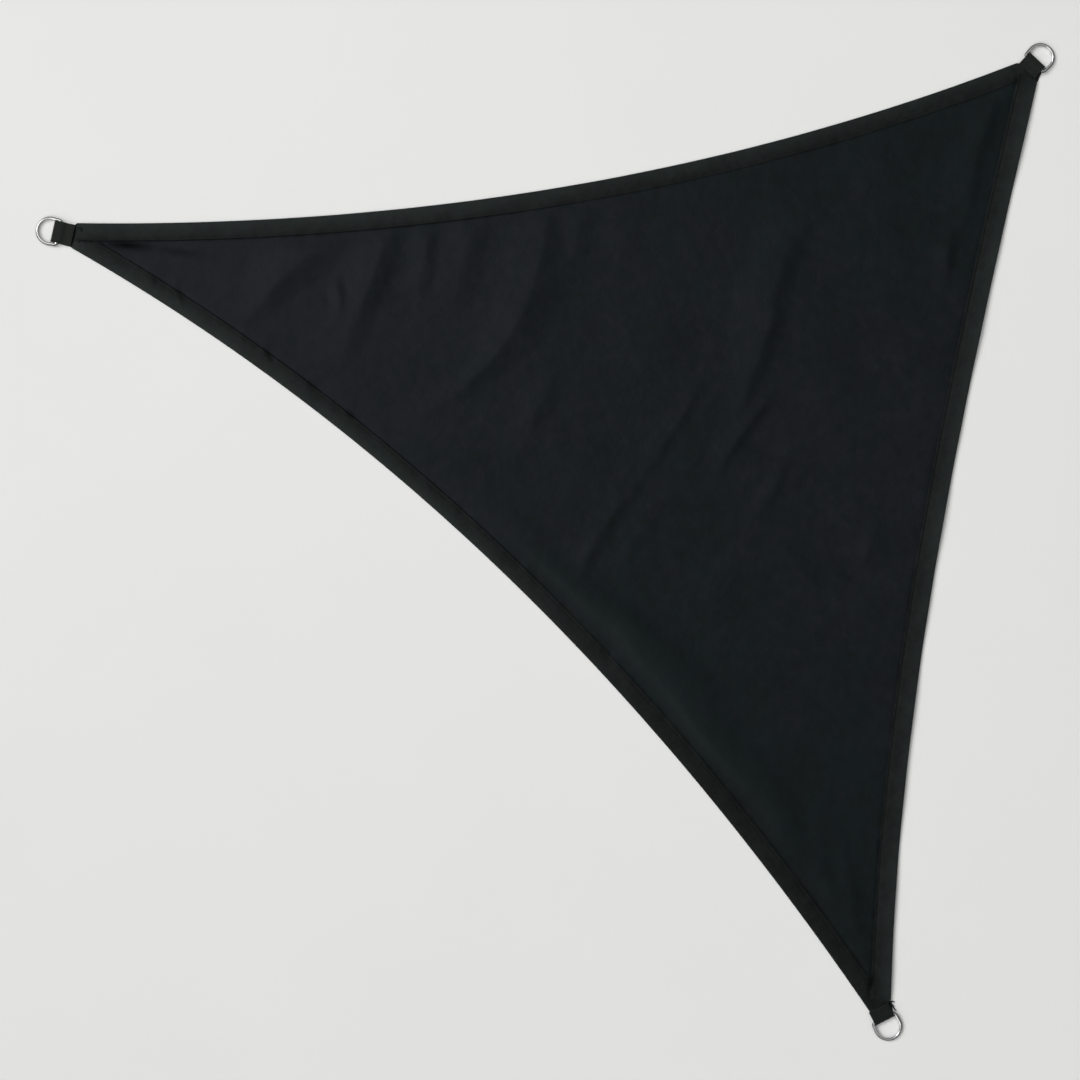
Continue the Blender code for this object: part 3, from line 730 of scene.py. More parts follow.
def edge_place(edge, points):
    """Each point's part of the chord and its depth inside the edge."""
    start, along, inward, run = edge_frame(edge)
    reach = points - start
    part = reach @ along / run
    offset, cosine = edge_offset(edge, part)
    return part, (reach @ inward - offset) * cosine


def corner_point(corner, ahead, aside):
    """The point that lies ahead of the tab's turn and to the left of its middle."""
    forward = heading(corner.heading_deg)
    return np.array(corner.turn) + ahead * forward + aside * np.array((-forward[1], forward[0]))


def corner_place(corner, points):
    """How far each point lies ahead of the tab's turn, and to the left of its middle."""
    forward = heading(corner.heading_deg)
    reach = points - np.array(corner.turn)
    return reach @ forward, reach @ np.array((-forward[1], forward[0]))


def bar_behind(corner, rings):
    """From the tab's turn back past the ring's bar."""
    return BAR_BACK - corner.bow_ahead + rings.wire / 2 + 2 * GAP


def slope_end(corner, rings):
    """From the tab's turn back to where the webbing's upper layer has come down to the cloth."""
    bar = bar_behind(corner, rings)
    return bar + TAB_SLOPE * (corner.tab - bar)


def curve_through(points, step):
    """Points about a step apart on one smooth curve through the given points, whose first two values are
    their place and whose others are carried along."""
    knots = [np.array(p) for p in points]
    ends = [2 * knots[0] - knots[1], *knots, 2 * knots[-1] - knots[-2]]
    found = []
    for before, first, last, after in zip(ends, ends[1:], ends[2:], ends[3:]):
        pieces = max(1, round(math.hypot(*(last - first)[:2]) / step))
        for piece in range(pieces):
            t = piece / pieces
            found.append(0.5 * (2 * first + (last - before) * t
                                + (2 * before - 5 * first + 4 * last - after) * t * t
                                + (3 * first - before - 3 * last + after) * t * t * t))
    return np.array([*found, knots[-1]])


def fold_height(fold, points):
    """How far one fold lifts each point."""
    rows = curve_through(np.array(fold.route) / 1000, FOLD_STEP)
    line = rows[:, :2]
    reach = rows[:, 2:4].max()
    near = ((points > line.min(0) - reach) & (points < line.max(0) + reach)).all(1)
    heights = np.zeros(len(points))
    here = points[near]
    best = np.full(len(here), np.inf)
    nearest = np.zeros((len(here), 3))
    turned = np.zeros(len(here))
    for first, last in zip(rows, rows[1:]):
        run = last[:2] - first[:2]
        part = np.clip((here - first[:2]) @ run / (run @ run), 0, 1)
        away = here - first[:2] - np.outer(part, run)
        far = np.hypot(*away.T)
        closer = far < best
        best = np.where(closer, far, best)
        nearest = np.where(closer[:, None], first[2:] + np.outer(part, last[2:] - first[2:]), nearest)
        turned = np.where(closer, run[0] * away[:, 1] - run[1] * away[:, 0], turned)
    left, right, height = nearest.T
    rise = np.clip(1 - best / np.where(turned > 0, left, right), 0, 1)
    heights[near] = height.clip(0) * ((1 - fold.crisp) * smooth(rise) + fold.crisp * rise ** 2)
    return heights


class ClothSurface:
    """The cloth's shape: how high its underside lies over each point, and how thick it is there."""

    def __init__(self, points, settings):
        self.points = points
        self.settings = settings
        self.places = {edge.name: edge_place(edge, points) for edge in EDGES}
        self.depth = np.min([depth for _, depth in self.places.values()], axis=0)
        self.in_tab = np.zeros(len(points), bool)
        self.clear_of_tabs = np.ones(len(points))
        self.far_from_tabs = np.ones(len(points))
        for corner in CORNERS:
            ahead, aside = corner_place(corner, points)
            self.in_tab |= (ahead > -corner.tab - GAP) & (abs(aside) < TAB_HALF_REACH)
            self.clear_of_tabs *= smooth((-corner.tab - TAB_CLEAR[0] - ahead) / TAB_CLEAR[1])
            self.far_from_tabs *= smooth((-corner.tab - SHADE_CLEAR[0] - ahead) / SHADE_CLEAR[1])
        self.pinches = self.pinched()
        self.flaps = {edge.name: self.flap(edge) for edge in EDGES}

    def along_edges(self):
        """Each edge's number, the edge, and the points' parts of its chord, depths inside it and runs
        along it."""
        for number, edge in enumerate(EDGES):
            part, depth = self.places[edge.name]
            yield number, edge, part, depth, part * edge_frame(edge)[3]

    def uncovered(self, edge, fade):
        """0 where another hem lies over an edge's own, rising to 1 over a short way beside it."""
        clear = np.ones(len(self.points))
        for other in EDGES:
            if other.name in edge.under:
                clear = clear * smooth((self.places[other.name][1] - other.hem) / fade)
        return clear

    def flap(self, edge):
        """1 on an edge's hem and 0 beyond it, with a soft step where another hem covers it."""
        part, depth = self.places[edge.name]
        width = between(edge.soft, part) + CROSSING_STEP * (1 - self.uncovered(edge, 0.002))
        return smooth((edge.hem + width / 2 - depth) / width)

    def pinched(self):
        """How deep in a pinched crease each point lies, up to the crease's own depth."""
        deepest = np.zeros(len(self.points))
        for pinch in PINCHES:
            along = heading(pinch.heading_deg)
            reach = self.points - pinch.place
            spread = (reach @ along / pinch.half_length) ** 2
            spread += ((reach[:, 1] * along[0] - reach[:, 0] * along[1]) / pinch.half_width) ** 2
            deepest = np.maximum(deepest, pinch.depth * np.exp(-spread))
        return deepest

    def underside(self):
        """How far the cloth's underside stands above the surface."""
        inland = smooth(np.min([self.places[e.name][1] - e.hem for e in EDGES], axis=0) / HEM_HOLD_REACH)
        folds = sum(fold_height(fold, self.points) for fold in FOLDS)
        lifts = [folds * (HEM_HOLD + (1 - HEM_HOLD) * inland)]
        for _, edge, part, depth, run in self.along_edges():
            turns = math.tau * run / edge.ripple
            wave = 0.8 + 0.2 * np.sin(turns) + 0.15 * np.sin(2.3 * turns + 1)
            inward = np.clip(1 - depth / edge.reach, 0, 1) ** 2
            lifts.append(edge.tilt * wave * inward * smooth(16 * part * (1 - part)))
        for corner in CORNERS:
            ahead = corner_place(corner, self.points)[0]
            lifts.append((TAB_LAYER + GAP) * smooth(1 + (ahead + corner.tab + LIFT_PAST) / LIFT_FADE))
        uneven = np.array([noise.noise(Vector((7 * x, 7 * y, 3.1)))
                           + 0.5 * noise.noise(Vector((19 * x, 19 * y, 8.2))) for x, y in self.points])
        waves = self.settings.unevenness * (0.75 + uneven) * smooth(self.depth / LOOSE_REACH)
        return np.maximum(np.max(lifts, axis=0) + waves, 0.0)

    def thickness(self):
        """Layers of cloth, with the puffs, gathers and dents that the sewing gives its upper face."""
        layers = 1.0 + sum(self.flaps.values())
        layers = np.minimum(layers, np.where(self.in_tab, 2.0, 3.0))
        thick = self.settings.thickness * layers
        for number, edge, _, depth, run in self.along_edges():
            across = np.clip(depth / edge.seam, 0, 1)
            # This crown peaks at 1, a third of the way from the fold to the stitching.
            crown = 27 / 4 * across * (1 - across) ** 2 * (0.75 + 0.35 * wander("crown", number, run))
            beyond = (depth - edge.hem) / SWELL_RISE
            swell = smooth(beyond) * np.exp(-np.clip(beyond, 0, None) / SWELL_FALL)
            swell = swell * (1 + 0.5 * wander("swell", number, run))
            inside = depth - edge.seam
            lean = run + 0.5 * inside * wander("lean", number, run)
            gathers = (0.6 * wander("fine_gathers", number, lean) + 0.9 * wander("gathers", number, lean)
                       + 1.1 * wander("broad_gathers", number, run))
            near_seam = np.exp(-(inside / np.where(inside > 0, GATHER_INWARD, GATHER_OUTWARD)) ** 2)
            dent = SEAM_DENT * np.exp(-(inside / SEAM_HALF) ** 2)
            bare = self.clear_of_tabs * self.uncovered(edge, 0.004)
            thick = thick + bare * (edge.crown * crown + edge.swell * swell
                                    + edge.pucker * gathers * near_seam - dent)
        return np.maximum(thick - PINCH_DEPTH * self.pinches, 0.5 * self.settings.thickness)

    def roundness(self):
        """0 on the cloth's rim and 1 past the round of its outer fold."""
        part = np.clip(self.depth / self.settings.fold_radius, 0, 1)
        return np.where(self.in_tab, 1.0, np.sqrt(1 - (1 - part) ** 2))

    def shift(self):
        """How far each point slides outwards, so that a hem's inner edge overhangs the cloth."""
        moved = np.zeros((len(self.points), 2))
        for _, edge, part, depth, _ in self.along_edges():
            lip = np.exp(-((depth - edge.hem - LIP_FIRST) / LIP_HALF) ** 2) * (depth > edge.hem)
            lip = lip * self.clear_of_tabs * self.uncovered(edge, 0.003)
            lip = lip * np.clip(1.4 - between(edge.soft, part) / SOFT_STEP, 0, 1)
            moved -= np.outer(LIP_OVERHANG * lip, edge_frame(edge)[2])
        return moved

    def groove(self):
        """How much painted shade darkens each point, from 0 to 1: beside a hem's inner edge or its
        stitching, and in the pinched creases.
        """
        shade = np.zeros(len(self.points))
        for number, edge, part, depth, run in self.along_edges():
            dark = between(edge.shade, part) * (1 + 0.45 * wander("fine_shade", number, run)
                                                + 0.3 * wander("broad_shade", number, run))
            width = edge.groove * (1 + 0.35 * wander("groove_width", number, run))
            middle = edge.hem + 0.3 * edge.groove + edge.sway * wander("groove_place", number, run)
            line = dark * np.exp(-((depth - middle) / width) ** 2)
            shade = np.maximum(shade, line * self.far_from_tabs * self.uncovered(edge, 0.003))
        return np.clip(np.maximum(shade, self.pinches), 0, 1)

    def paleness(self):
        """How much paler each point is: a painted highlight on the high parts of a fold, and on a hem,
        most along its outer fold.
        """
        pale = np.zeros(len(self.points))
        for fold in FOLDS:
            if fold.paler:
                above = fold_height(fold, self.points) - HIGHLIGHT_FROM
                pale += fold.paler * np.clip(above / HIGHLIGHT_RISE, 0, 1)
        for number, edge, part, depth, run in self.along_edges():
            paler = np.clip(1 - depth / PALE_REACH, 0, 1) * between(edge.pale, part)
            paler = paler * (1 + 0.2 * wander("paler", number, run))
            on_top = self.flaps[edge.name] * self.uncovered(edge, 0.002) > 0.5
            pale = np.where(on_top, paler, pale)
        return pale


# ---- the cloth's mesh --------------------------------------------------------------------------

def edge_parts(edge, spacing):
    """Even steps along the edge, from where it leaves one tab to where it meets the next."""
    parts = np.linspace(0, 1, 4001)
    points = edge_points(edge, parts)
    clear = np.ones(len(parts), bool)
    for corner in CORNERS:
        clear &= corner_place(corner, points)[0] < -corner.tab - TONGUE_ROOT
    first, last = parts[clear][0], parts[clear][-1]
    count = round((last - first) * edge_frame(edge)[3] / spacing)
    return np.linspace(first, last, count + 1)


def cloth_outline(cloth, rings):
    """The cloth's outline, clockwise: each edge, and then the tip that the next tab holds."""
    loop = []
    following = (CORNERS[1], CORNERS[2], CORNERS[0])
    half = TONGUE_WIDTH / 2
    for edge, corner in zip(EDGES, following):
        loop += list(edge_points(edge, edge_parts(edge, cloth.hem_spacing)))
        root = -corner.tab + TONGUE_ROOT
        tip = -slope_end(corner, rings) - TAB_LAYER
        for ahead, aside in ((root, half), (tip, half), (tip, 0.0), (tip, -half), (root, -half)):
            loop.append(corner_point(corner, ahead, aside))
    return np.array(loop)


def pinch_points(pinch):
    """Rows of points along a pinched crease, clear of the hems' own rows."""
    step = pinch.half_width * 0.7
    along = np.arange(-1.4 * pinch.half_length, 1.4 * pinch.half_length, 1.3 * step)
    rows = [np.column_stack((along + 0.65 * step * (number % 2), np.full(len(along), number * step)))
            for number in range(-3, 4)]
    cosine, sine = heading(pinch.heading_deg)
    points = np.concatenate(rows) @ np.array(((cosine, sine), (-sine, cosine))) + pinch.place
    kept = np.ones(len(points), bool)
    for edge in EDGES:
        depth = edge_place(edge, points)[1]
        kept &= (depth > 0.002) & (abs(depth - edge.hem) > ROW_ROOM)
    return points[kept]


def cloth_field(cloth, rings):
    """All points of the cloth's mesh in plan, its outline first, and the lines kept between them."""
    loop = cloth_outline(cloth, rings)
    fields = [loop]
    lines = []
    count = len(loop)
    for edge in EDGES:
        parts = edge_parts(edge, cloth.hem_spacing)
        others = [other for other in EDGES if other is not edge]
        for depth in (*HEM_ROWS, *(edge.seam + row for row in SEAM_ROWS),
                      *(edge.hem + row for row in LIP_ROWS)):
            row = edge_points(edge, parts, depth)
            depths = [edge_place(other, row)[1] for other in others]
            beside = np.min(depths, axis=0)
            kept = beside > min(depth, 0.004) * 0.8
            if abs(depth - edge.hem) > 0.001:
                for away, other in zip(depths, others):
                    kept &= abs(away - other.hem) > ROW_ROOM
                kept &= beside > depth * 0.999 - 0.0001
            row = row[kept]
            if abs(depth - edge.hem) < 0.0005:
                spaced = np.hypot(*np.diff(row, axis=0).T) < 1.5 * cloth.hem_spacing
                lines += [(count + number, count + number + 1)
                          for number, near in enumerate(spaced) if near]
            fields.append(row)
            count += len(row)
    step = cloth.field_spacing
    low, high = loop.min(0), loop.max(0)
    grid = []
    wide = []
    for number, y in enumerate(np.arange(low[1], high[1], step * math.sqrt(0.75))):
        xs = np.arange(low[0] + 0.5 * step * (number % 2), high[0], step)
        grid.append(np.column_stack((xs, np.full(len(xs), y))))
        wide.append((number % 2 == 0) & ((np.arange(len(xs)) + number // 2) % 2 == 0))
    grid = np.concatenate(grid)
    folded = sum(fold_height(fold, grid) for fold in FOLDS) > 0.0001
    kept = folded | np.concatenate(wide)
    for edge in EDGES:
        kept &= edge_place(edge, grid)[1] > edge.hem + LIP_ROWS[-1] + 0.6 * step
    fields += [grid[kept], *(pinch_points(pinch) for pinch in PINCHES)]
    return np.concatenate(fields), lines, len(loop)


def grain_map(mesh, surface):
    """Lays the weave's UV map, in metres: along the cloth's grain, but along the edge in a hem."""
    grain = mesh.uv_layers.new(name="grain")
    corners = np.zeros(len(mesh.loops), int)
    mesh.loops.foreach_get("vertex_index", corners)
    corners %= len(surface.points)
    uv = surface.points[corners]
    owners = np.repeat(np.arange(len(mesh.polygons)), 3)
    for _, edge, _, depth, run in surface.along_edges():
        inside = surface.flaps[edge.name][corners].reshape(-1, 3).min(axis=1) > 0.5
        uv = np.where(inside[owners][:, None], np.column_stack((run, depth))[corners], uv)
    grain.data.foreach_set("uv", uv.astype(np.float32).ravel())


def sew_cloth(cloth, rings):
    """The cloth's closed mesh: upper and lower faces that share the rim."""
    plan, lines, rim = cloth_field(cloth, rings)
    found = delaunay_2d_cdt([Vector(p) for p in plan], lines, [list(range(rim))], 1, 1e-6)
    plan = np.array([tuple(p) for p in found[0]])
    triangles = np.array(found[2])
    surface = ClothSurface(plan, cloth)
    half = surface.thickness() / 2
    middle = surface.underside() + half
    rounded = surface.roundness() * half
    upper = np.column_stack((plan + surface.shift(), middle + rounded))
    lower = np.column_stack((plan, middle - rounded))
    mesh = bpy.data.meshes.new("sail_cloth")
    faces = np.concatenate((triangles, triangles[:, ::-1] + len(plan)))
    mesh.from_pydata(np.concatenate((upper, lower)).tolist(), [], faces.tolist())
    grain_map(mesh, surface)
    # The groove mark carries painted shade, and the pale mark a painted highlight on a fold and the
    # paler outer folds of the hems.
    marks = {"groove": surface.groove(), "hem": np.clip(sum(surface.flaps.values()), 0, 1),
             "pale": surface.paleness()}
    for name, values in marks.items():
        both = np.tile(values, 2).astype(np.float32)
        mesh.attributes.new(name, "FLOAT", "POINT").data.foreach_set("value", both)

    shape = bmesh.new()
    shape.from_mesh(mesh)
    bmesh.ops.bridge_loops(shape, edges=[edge for edge in shape.edges if edge.is_boundary])
    bmesh.ops.remove_doubles(shape, verts=shape.verts, dist=0.00002)
    bmesh.ops.recalc_face_normals(shape, faces=shape.faces)
    shape.to_mesh(mesh)
    shape.free()
    mesh.shade_smooth()
    return mesh


# ---- shaping by hand ---------------------------------------------------------------------------

def add_object(name, data):
    made = bpy.data.objects.new(name, data)
    bpy.context.collection.objects.link(made)
    return made


def start_shape(name, add, **how):
    """Adds a primitive as the only thing selected, applies its turn, names it and opens its mesh."""
    bpy.ops.object.select_all(action="DESELECT")
    add(**how)
    bpy.ops.object.transform_apply(location=False, rotation=True, scale=False)
    shape = bpy.context.object
    shape.name = name
    shape.data.name = name
    bpy.ops.object.mode_set(mode="EDIT")
    return shape


def finish_piece(piece, material):
    """Gives a piece its finish, and lets it ride with the sail."""
    piece.data.materials.clear()
    piece.data.materials.append(material)
    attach(piece, "root")


def end_shape(shape, material):
    """Puts the piece's place in its mesh and gives it its finish."""
    bpy.ops.object.transform_apply(location=True, rotation=True, scale=True)
    bpy.ops.object.shade_smooth()
    finish_piece(shape, material)


def apply_modifier(shape, kind, **settings):
    modifier = shape.modifiers.new(kind.title(), kind)
    for setting, chosen in settings.items():
        setattr(modifier, setting, chosen)
    bpy.ops.object.modifier_apply(modifier=modifier.name)


def lay_line(name, spots, closed=False):
    """A curve from spot to spot."""
    line = bpy.data.curves.new(name, "CURVE")
    line.dimensions = "3D"
    spline = line.splines.new("POLY")
    spline.points.add(len(spots) - 1)
    for point, spot in zip(spline.points, spots):
        point.co = (*spot, 1.0)
    spline.use_cyclic_u = closed
    return add_object(name, line)


# ---- the tabs ----------------------------------------------------------------------------------

def tab_profile(corner, rings):
    """The middle of the webbing from the side, as (ahead, height, splay): from the lower layer's cut end
    round the turn, back over the bar and down to the upper layer's cut end."""
    radius = rings.wire / 2 + GAP + TAB_LAYER / 2
    axis = TAB_LAYER + GAP + rings.wire / 2
    upper = axis + radius
    resting = HELD_HEIGHT + TAB_LAYER / 2
    end = -corner.tab
    turn = -TAB_LAYER / 2 - radius
    behind_bar = -bar_behind(corner, rings)
    flat = -slope_end(corner, rings)
    profile = [(ahead, TAB_LAYER / 2, corner.splay * (ahead - turn) / (end - turn))
               for ahead in np.linspace(end, turn, 14)[:-1]]
    for angle in np.linspace(-math.pi / 2, math.pi / 2, 15):
        profile.append((turn + radius * math.cos(angle), axis + radius * math.sin(angle), 0.0))
    if behind_bar < turn - GAP:
        profile += [(ahead, upper, 0.0) for ahead in np.linspace(turn, behind_bar, 5)[1:]]
    for part in np.linspace(0, 1, 8)[1:]:
        height = upper + (resting - upper) * float(smooth(part))
        profile.append((behind_bar + (flat - behind_bar) * part, height, 0.0))
    steps = max(3, round((flat - end) / 0.002))
    profile += [(ahead, resting, 0.0) for ahead in np.linspace(flat, end, steps)[1:]]
    return profile


def tab_half(ahead, tabs):
    """Half the webbing's width at a place along the tab."""
    drawn = float(smooth(1 + ahead / tabs.drawn_in))
    return (tabs.width + (tabs.fold_width - tabs.width) * drawn) / 2


def select_at(shape, ahead, height):
    """In edit mode, leaves only the vertices selected that lie at a place along X and Z."""
    bpy.ops.mesh.select_all(action="DESELECT")
    mesh = bmesh.from_edit_mesh(shape.data)
    for vertex in mesh.verts:
        if abs(vertex.co.x - ahead) < 1e-5 and abs(vertex.co.z - height) < 1e-5:
            vertex.select_set(True)
    mesh.select_flush(True)
    bmesh.update_edit_mesh(shape.data)


def lay_webbing_map(mesh, profile):
    """The weave's map on a band, across it and along its whole length, and the marks of its cut ends,
    which are painted paler.
    """
    line = np.array([(ahead, height) for ahead, height, _ in profile])
    runs = np.concatenate(([0], np.cumsum(np.hypot(*np.diff(line, axis=0).T))))
    grain = mesh.uv_layers.new(name="grain")
    lit_sealed_end = mesh.attributes.new("lit_sealed_end", "FLOAT", "POINT")
    for loop in mesh.loops:
        spot = mesh.vertices[loop.vertex_index].co
        row = int(np.argmin(np.hypot(line[:, 0] - spot.x, line[:, 1] - spot.z)))
        grain.data[loop.index].uv = (spot.y, runs[row])
        lit_sealed_end.data[loop.vertex_index].value = float(row in (0, len(line) - 1))


def fold_webbing(corner, tabs, rings, material):
    """A webbing tab: a band extruded along its profile, given its thickness and its rounded selvedges.
    It is made with its turn at the origin, pointing along +X."""
    profile = tab_profile(corner, rings)
    shape = start_shape("webbing_" + corner.name, bpy.ops.mesh.primitive_grid_add, x_subdivisions=1,
                        y_subdivisions=18, size=1)
    mesh = bmesh.from_edit_mesh(shape.data)
    for vertex in mesh.verts:
        ahead, height, splay = profile[1] if vertex.co.x > 0 else profile[0]
        vertex.co = (ahead, vertex.co.y * 2 * tab_half(ahead, tabs) + splay, height)
    bmesh.update_edit_mesh(shape.data)
    for (x, z, splay), (next_x, next_z, next_splay) in zip(profile[1:], profile[2:]):
        select_at(shape, x, z)
        step = (next_x - x, next_splay - splay, next_z - z)
        bpy.ops.mesh.extrude_region_move(TRANSFORM_OT_translate={"value": step})
        ratio = tab_half(next_x, tabs) / tab_half(x, tabs)
        bpy.ops.transform.resize(value=(1, ratio, 1), center_override=(next_x, next_splay, next_z))
    bpy.ops.object.mode_set(mode="OBJECT")
    lay_webbing_map(shape.data, profile)
    worn = shape.data.attributes.new("worn", "FLOAT", "POINT")
    worn.data.foreach_set("value", [corner.worn] * len(shape.data.vertices))
    apply_modifier(shape, "SOLIDIFY", thickness=TAB_LAYER, offset=0.0, use_even_offset=True)
    apply_modifier(shape, "BEVEL", width=SELVEDGE, segments=2, limit_method="ANGLE", angle_limit=1.0)
    shape.location = (*corner.turn, 0.0)
    shape.rotation_euler = (0, 0, math.radians(corner.heading_deg))
    end_shape(shape, material)
    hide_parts("tab_" + corner.name)


# ---- the rings ---------------------------------------------------------------------------------

def bend(degrees, centre, steps):
    """Carries the selected section of wire on, clockwise round a centre."""
    bpy.ops.mesh.spin(steps=steps, angle=math.radians(degrees), center=centre, axis=(0, 0, 1))


def run_straight(move):
    """Carries the selected section of wire on in a straight line."""
    bpy.ops.mesh.extrude_region_move(TRANSFORM_OT_translate={"value": move})


def bend_ring(corner, rings, material):
    """A D ring: a round section spun about the bow, down a leg, along the bar and back up to the bow."""
    back = BAR_BACK - rings.corner_radius
    side = rings.bar_half - rings.corner_radius
    draw_in = rings.bow_radius - rings.bar_half
    shape = start_shape("bent_ring_" + corner.name, bpy.ops.mesh.primitive_circle_add, vertices=22,
                        radius=rings.wire / 2, rotation=(0, math.pi / 2, 0))
    bpy.ops.mesh.select_all(action="SELECT")
    bpy.ops.transform.translate(value=(0, rings.bow_radius, 0))
    bend(180, (0, 0, 0), steps=44)
    run_straight((-back, draw_in, 0))
    bend(90, (-back, -side, 0), steps=8)
    run_straight((0, 2 * side, 0))
    bend(90, (-back, side, 0), steps=8)
    run_straight((back, draw_in, 0))
    bpy.ops.mesh.select_all(action="SELECT")
    bpy.ops.mesh.remove_doubles(threshold=0.00005)
    bpy.ops.mesh.normals_make_consistent(inside=False)
    bpy.ops.object.mode_set(mode="OBJECT")
    # The mark for the painted dark reflection on the outer flank runs from 0 on the wire's top to 1 at
    # its side.
    flank = shape.data.attributes.new("flank", "FLOAT", "POINT")
    for vertex, mark in zip(shape.data.vertices, flank.data):
        outward = Vector((vertex.co.x, vertex.co.y, 0)).normalized()
        mark.value = max(0.0, vertex.normal.dot(outward))
    tilt = math.asin((TAB_LAYER + GAP) / (BAR_BACK + rings.bow_radius))
    centre = corner_point(corner, corner.bow_ahead, corner.aside)
    shape.location = (*centre, rings.wire / 2 + rings.bow_radius * math.sin(tilt))
    shape.rotation_euler = (Matrix.Rotation(math.radians(corner.heading_deg), 4, "Z")
                            @ Matrix.Rotation(tilt, 4, "Y")).to_euler()
    end_shape(shape, material)
    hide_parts("ring_" + corner.name)


# ---- the thread --------------------------------------------------------------------------------

def sew(name, route, thread, material, closed=False, pitch=None):
    """Stitches along a route: one stitch, repeated by an array and laid along the route as a curve."""
    pitch = pitch or thread.pitch
    guide = lay_line(name + "_route", route, closed)
    guide.data.twist_mode = "Z_UP"
    ends = [*route, route[0]] if closed else route
    run = sum(math.dist(a, b) for a, b in zip(ends, ends[1:]))
    stitch = start_shape(name, bpy.ops.mesh.primitive_uv_sphere_add, segments=6, ring_count=6,
                         radius=0.5, rotation=(0, math.pi / 2, 0))
    stretch = (pitch * thread.stitch / thread.pitch, thread.diameter, thread.diameter)
    bpy.ops.transform.resize(value=stretch, center_override=(0, 0, 0))
    bpy.ops.transform.translate(value=(pitch / 2, 0, 0))
    bpy.ops.object.mode_set(mode="OBJECT")
    apply_modifier(stitch, "ARRAY", count=max(1, int(run / pitch)), use_relative_offset=False,
                   use_constant_offset=True, constant_offset_displace=(pitch, 0, 0))
    apply_modifier(stitch, "CURVE", object=guide, deform_axis="POS_X")
    line = guide.data
    bpy.data.objects.remove(guide)
    bpy.data.curves.remove(line)
    end_shape(stitch, material)


def seam_route(edge, upper_face, thread):
    """Where an edge's stitching shows: clear of the tabs, of the hems over it and of the cloth's other
    edges, on the cloth's upper face."""
    points = edge_points(edge, np.linspace(0, 1, 900), edge.seam)
    shown = np.ones(len(points), bool)
    for other in EDGES:
        if other is not edge:
            depth = edge_place(other, points)[1]
            shown &= depth > (other.hem + SEAM_ROOM if other.name in edge.under else RIM_ROOM)
    for corner in CORNERS:
        shown &= corner_place(corner, points)[0] < -corner.tab - TAB_ROOM
    route = []
    for x, y in points[shown]:
        spot = upper_face.ray_cast(Vector((x, y, 0.1)), Vector((0, 0, -1)))[0]
        if spot:
            route.append((x, y, spot.z + 0.2 * thread.diameter))
    return route


def box_route(corner, tabs, rings):
    """The rectangle of stitching that holds a tab's two layers and the cloth between them."""
    first = -corner.tab + BOX_ENDS[0]
    last = -slope_end(corner, rings) + BOX_ENDS[1]
    half = tabs.width / 2 - BOX_INSET
    height = HELD_HEIGHT + TAB_LAYER + BOX_ABOVE
    box = ((first, -half), (last, -half), (last, half), (first, half))
    return [(*corner_point(corner, a + (c - a) * part, b + (d - b) * part), height)
            for (a, b), (c, d) in zip(box, box[1:] + box[:1]) for part in np.linspace(0, 1, 12)[:-1]]


def lay_tail(tail, material):
    """A loose thread end, tapering from the tab's side down to the floor."""
    points = curve_through(tail.route, TAIL_STEP)
    parts = np.linspace(0, 1, len(points))
    radius = tail.width / 2
    heights = radius + (tail.start_height - radius) * smooth(1 - 1.6 * parts)
    piece = lay_line("tail_" + tail.name, np.column_stack((points, heights)))
    piece.data.bevel_depth = radius
    piece.data.bevel_resolution = 2
    piece.data.use_fill_caps = True
    for point, part in zip(piece.data.splines[0].points, parts):
        point.radius = 1.0 - 0.6 * part
    bpy.ops.object.select_all(action="DESELECT")
    piece.select_set(True)
    bpy.context.view_layer.objects.active = piece
    bpy.ops.object.convert(target="MESH")
    end_shape(bpy.context.object, material)


# ---- operators ---------------------------------------------------------------------------------

class SAIL_OT_cloth(bpy.types.Operator):
    """Sew the sail's cloth with its three hems and lay it down in its folds"""

    bl_idname = "sail.cloth"
    bl_label = "Sew the cloth"

    def execute(self, context):
        settings = context.scene.sail_cloth
        piece = add_object("sail_cloth", sew_cloth(settings, context.scene.sail_rings))
        finish_piece(piece, cloth_material(settings))
        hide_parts("sail")
        return {"FINISHED"}


class SAIL_OT_tabs(bpy.types.Operator):
    """Fold a webbing tab round each ring's bar, over the cloth's tips"""

    bl_idname = "sail.tabs"
    bl_label = "Fold the tabs"

    def execute(self, context):
        tabs = context.scene.sail_tabs
        webbing = webbing_material(tabs)
        for corner in CORNERS:
            fold_webbing(corner, tabs, context.scene.sail_rings, webbing)
        return {"FINISHED"}


class SAIL_OT_rings(bpy.types.Operator):
    """Bend the three D rings and seat their bars in the tabs"""

    bl_idname = "sail.rings"
    bl_label = "Bend the rings"

    def execute(self, context):
        rings = context.scene.sail_rings
        steel = steel_material(rings)
        for corner in CORNERS:
            bend_ring(corner, rings, steel)
        return {"FINISHED"}


class SAIL_OT_stitching(bpy.types.Operator):
    """Stitch the hems and the tabs, and leave the loose thread ends"""

    bl_idname = "sail.stitching"
    bl_label = "Stitch the sail"

    def execute(self, context):
        scene = context.scene
        thread = scene.sail_thread
        twisted = thread_material(thread)
        cloth = BVHTree.FromObject(bpy.data.objects["sail_cloth"], context.evaluated_depsgraph_get())
        for edge in EDGES:
            sew("stitches_" + edge.name, seam_route(edge, cloth, thread), thread, twisted)
        for corner in CORNERS:
            route = box_route(corner, scene.sail_tabs, scene.sail_rings)
            sew("box_stitches_" + corner.name, route, thread, twisted, closed=True, pitch=BOX_PITCH)
        for tail in TAILS:
            lay_tail(tail, twisted)
        return {"FINISHED"}


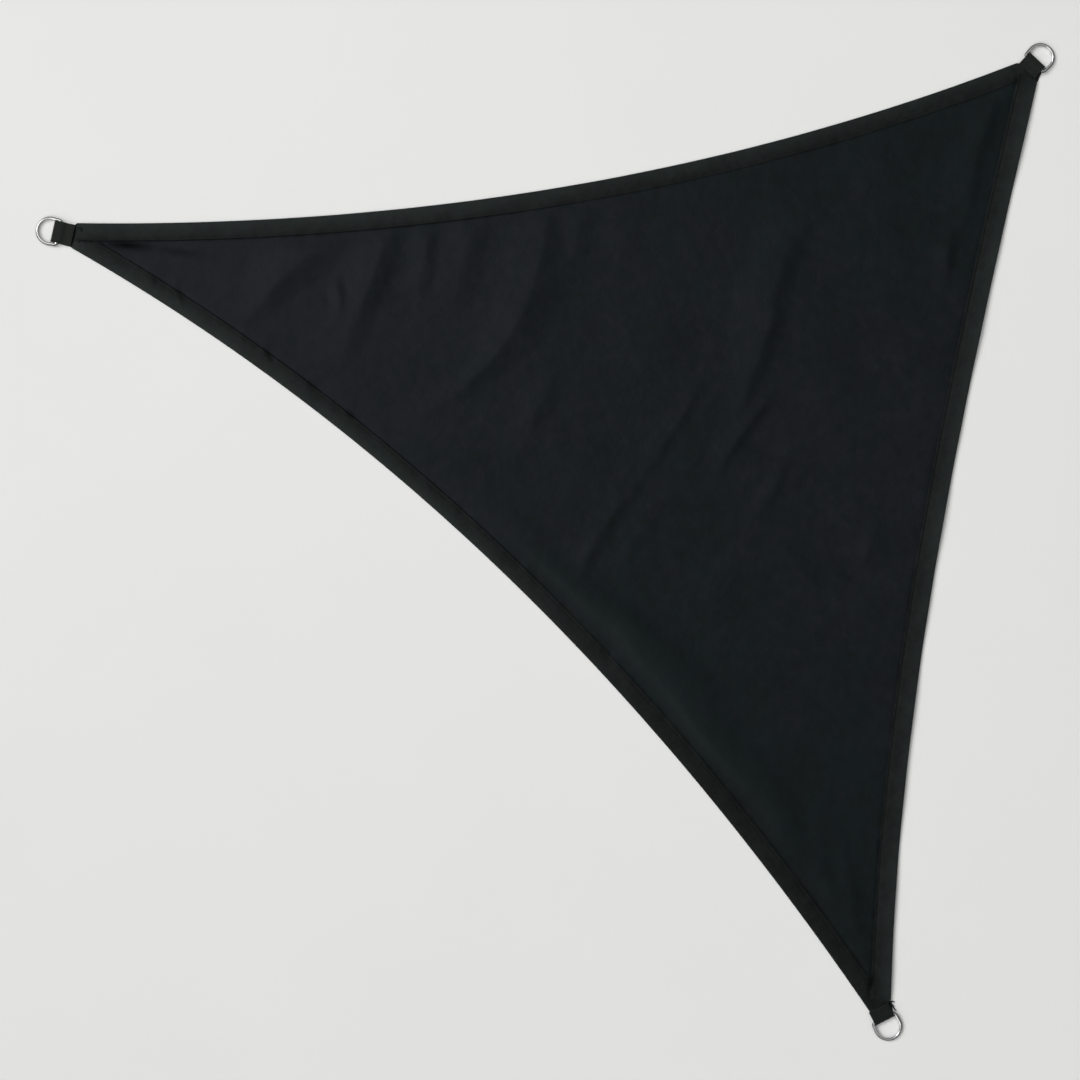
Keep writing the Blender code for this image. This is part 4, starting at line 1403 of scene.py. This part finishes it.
class SAIL_OT_stage(bpy.types.Operator):
    """Lay the pale floor, hang the lights and set the camera straight above"""

    bl_idname = "sail.stage"
    bl_label = "Set the stage"

    def execute(self, context):
        scene = context.scene
        settings = scene.sail_stage
        bpy.ops.object.select_all(action="DESELECT")
        bpy.ops.mesh.primitive_plane_add(size=FLOOR_SIDE, location=(0, 0, FLOOR_HEIGHT))
        floor = context.object
        floor.name = "floor"
        floor.data.materials.append(floor_material(settings))
        for name, kind, place, size, power in LIGHTS:
            bpy.ops.object.light_add(type=kind, location=place)
            light = context.object
            light.name = name
            setattr(light.data, "angle" if kind == "SUN" else "size", size)
            light.data.energy = power
            light.rotation_euler = (-Vector(place)).to_track_quat("-Z", "Y").to_euler()
        scene.world = light_room()
        scene.view_settings.view_transform = "Standard"
        bpy.ops.object.camera_add(location=(*VIEW_CENTRE, settings.camera_height), rotation=(0, 0, 0))
        scene.camera = context.object
        lens = scene.camera.data
        lens.lens = lens.sensor_width * settings.camera_height / settings.view_width
        return {"FINISHED"}


class SAIL_PT_panel(bpy.types.Panel):
    """Lists the sail's pieces and sizes"""

    bl_idname = "SAIL_PT_panel"
    bl_label = "Shade sail"
    bl_space_type = "VIEW_3D"
    bl_region_type = "UI"
    bl_category = "Shade sail"

    def draw(self, context):
        for name, group in SETTINGS:
            box = self.layout.box()
            for setting in group.__annotations__:
                box.prop(getattr(context.scene, name), setting)
        for operator in OPERATORS:
            self.layout.operator(operator.bl_idname)


OPERATORS = (SAIL_OT_cloth, SAIL_OT_tabs, SAIL_OT_rings, SAIL_OT_stitching, SAIL_OT_stage)
CLASSES = (*(group for _, group in SETTINGS), *OPERATORS, SAIL_PT_panel)


def register():
    for made in CLASSES:
        bpy.utils.register_class(made)
    for name, group in SETTINGS:
        setattr(bpy.types.Scene, name, PointerProperty(type=group))


def unregister():
    for name, _ in SETTINGS:
        delattr(bpy.types.Scene, name)
    for made in reversed(CLASSES):
        bpy.utils.unregister_class(made)


def main():
    register()
    bpy.ops.sail.cloth()
    bpy.ops.sail.tabs()
    bpy.ops.sail.rings()
    bpy.ops.sail.stitching()
    bpy.ops.sail.stage()


if __name__ == "__main__":
    main()
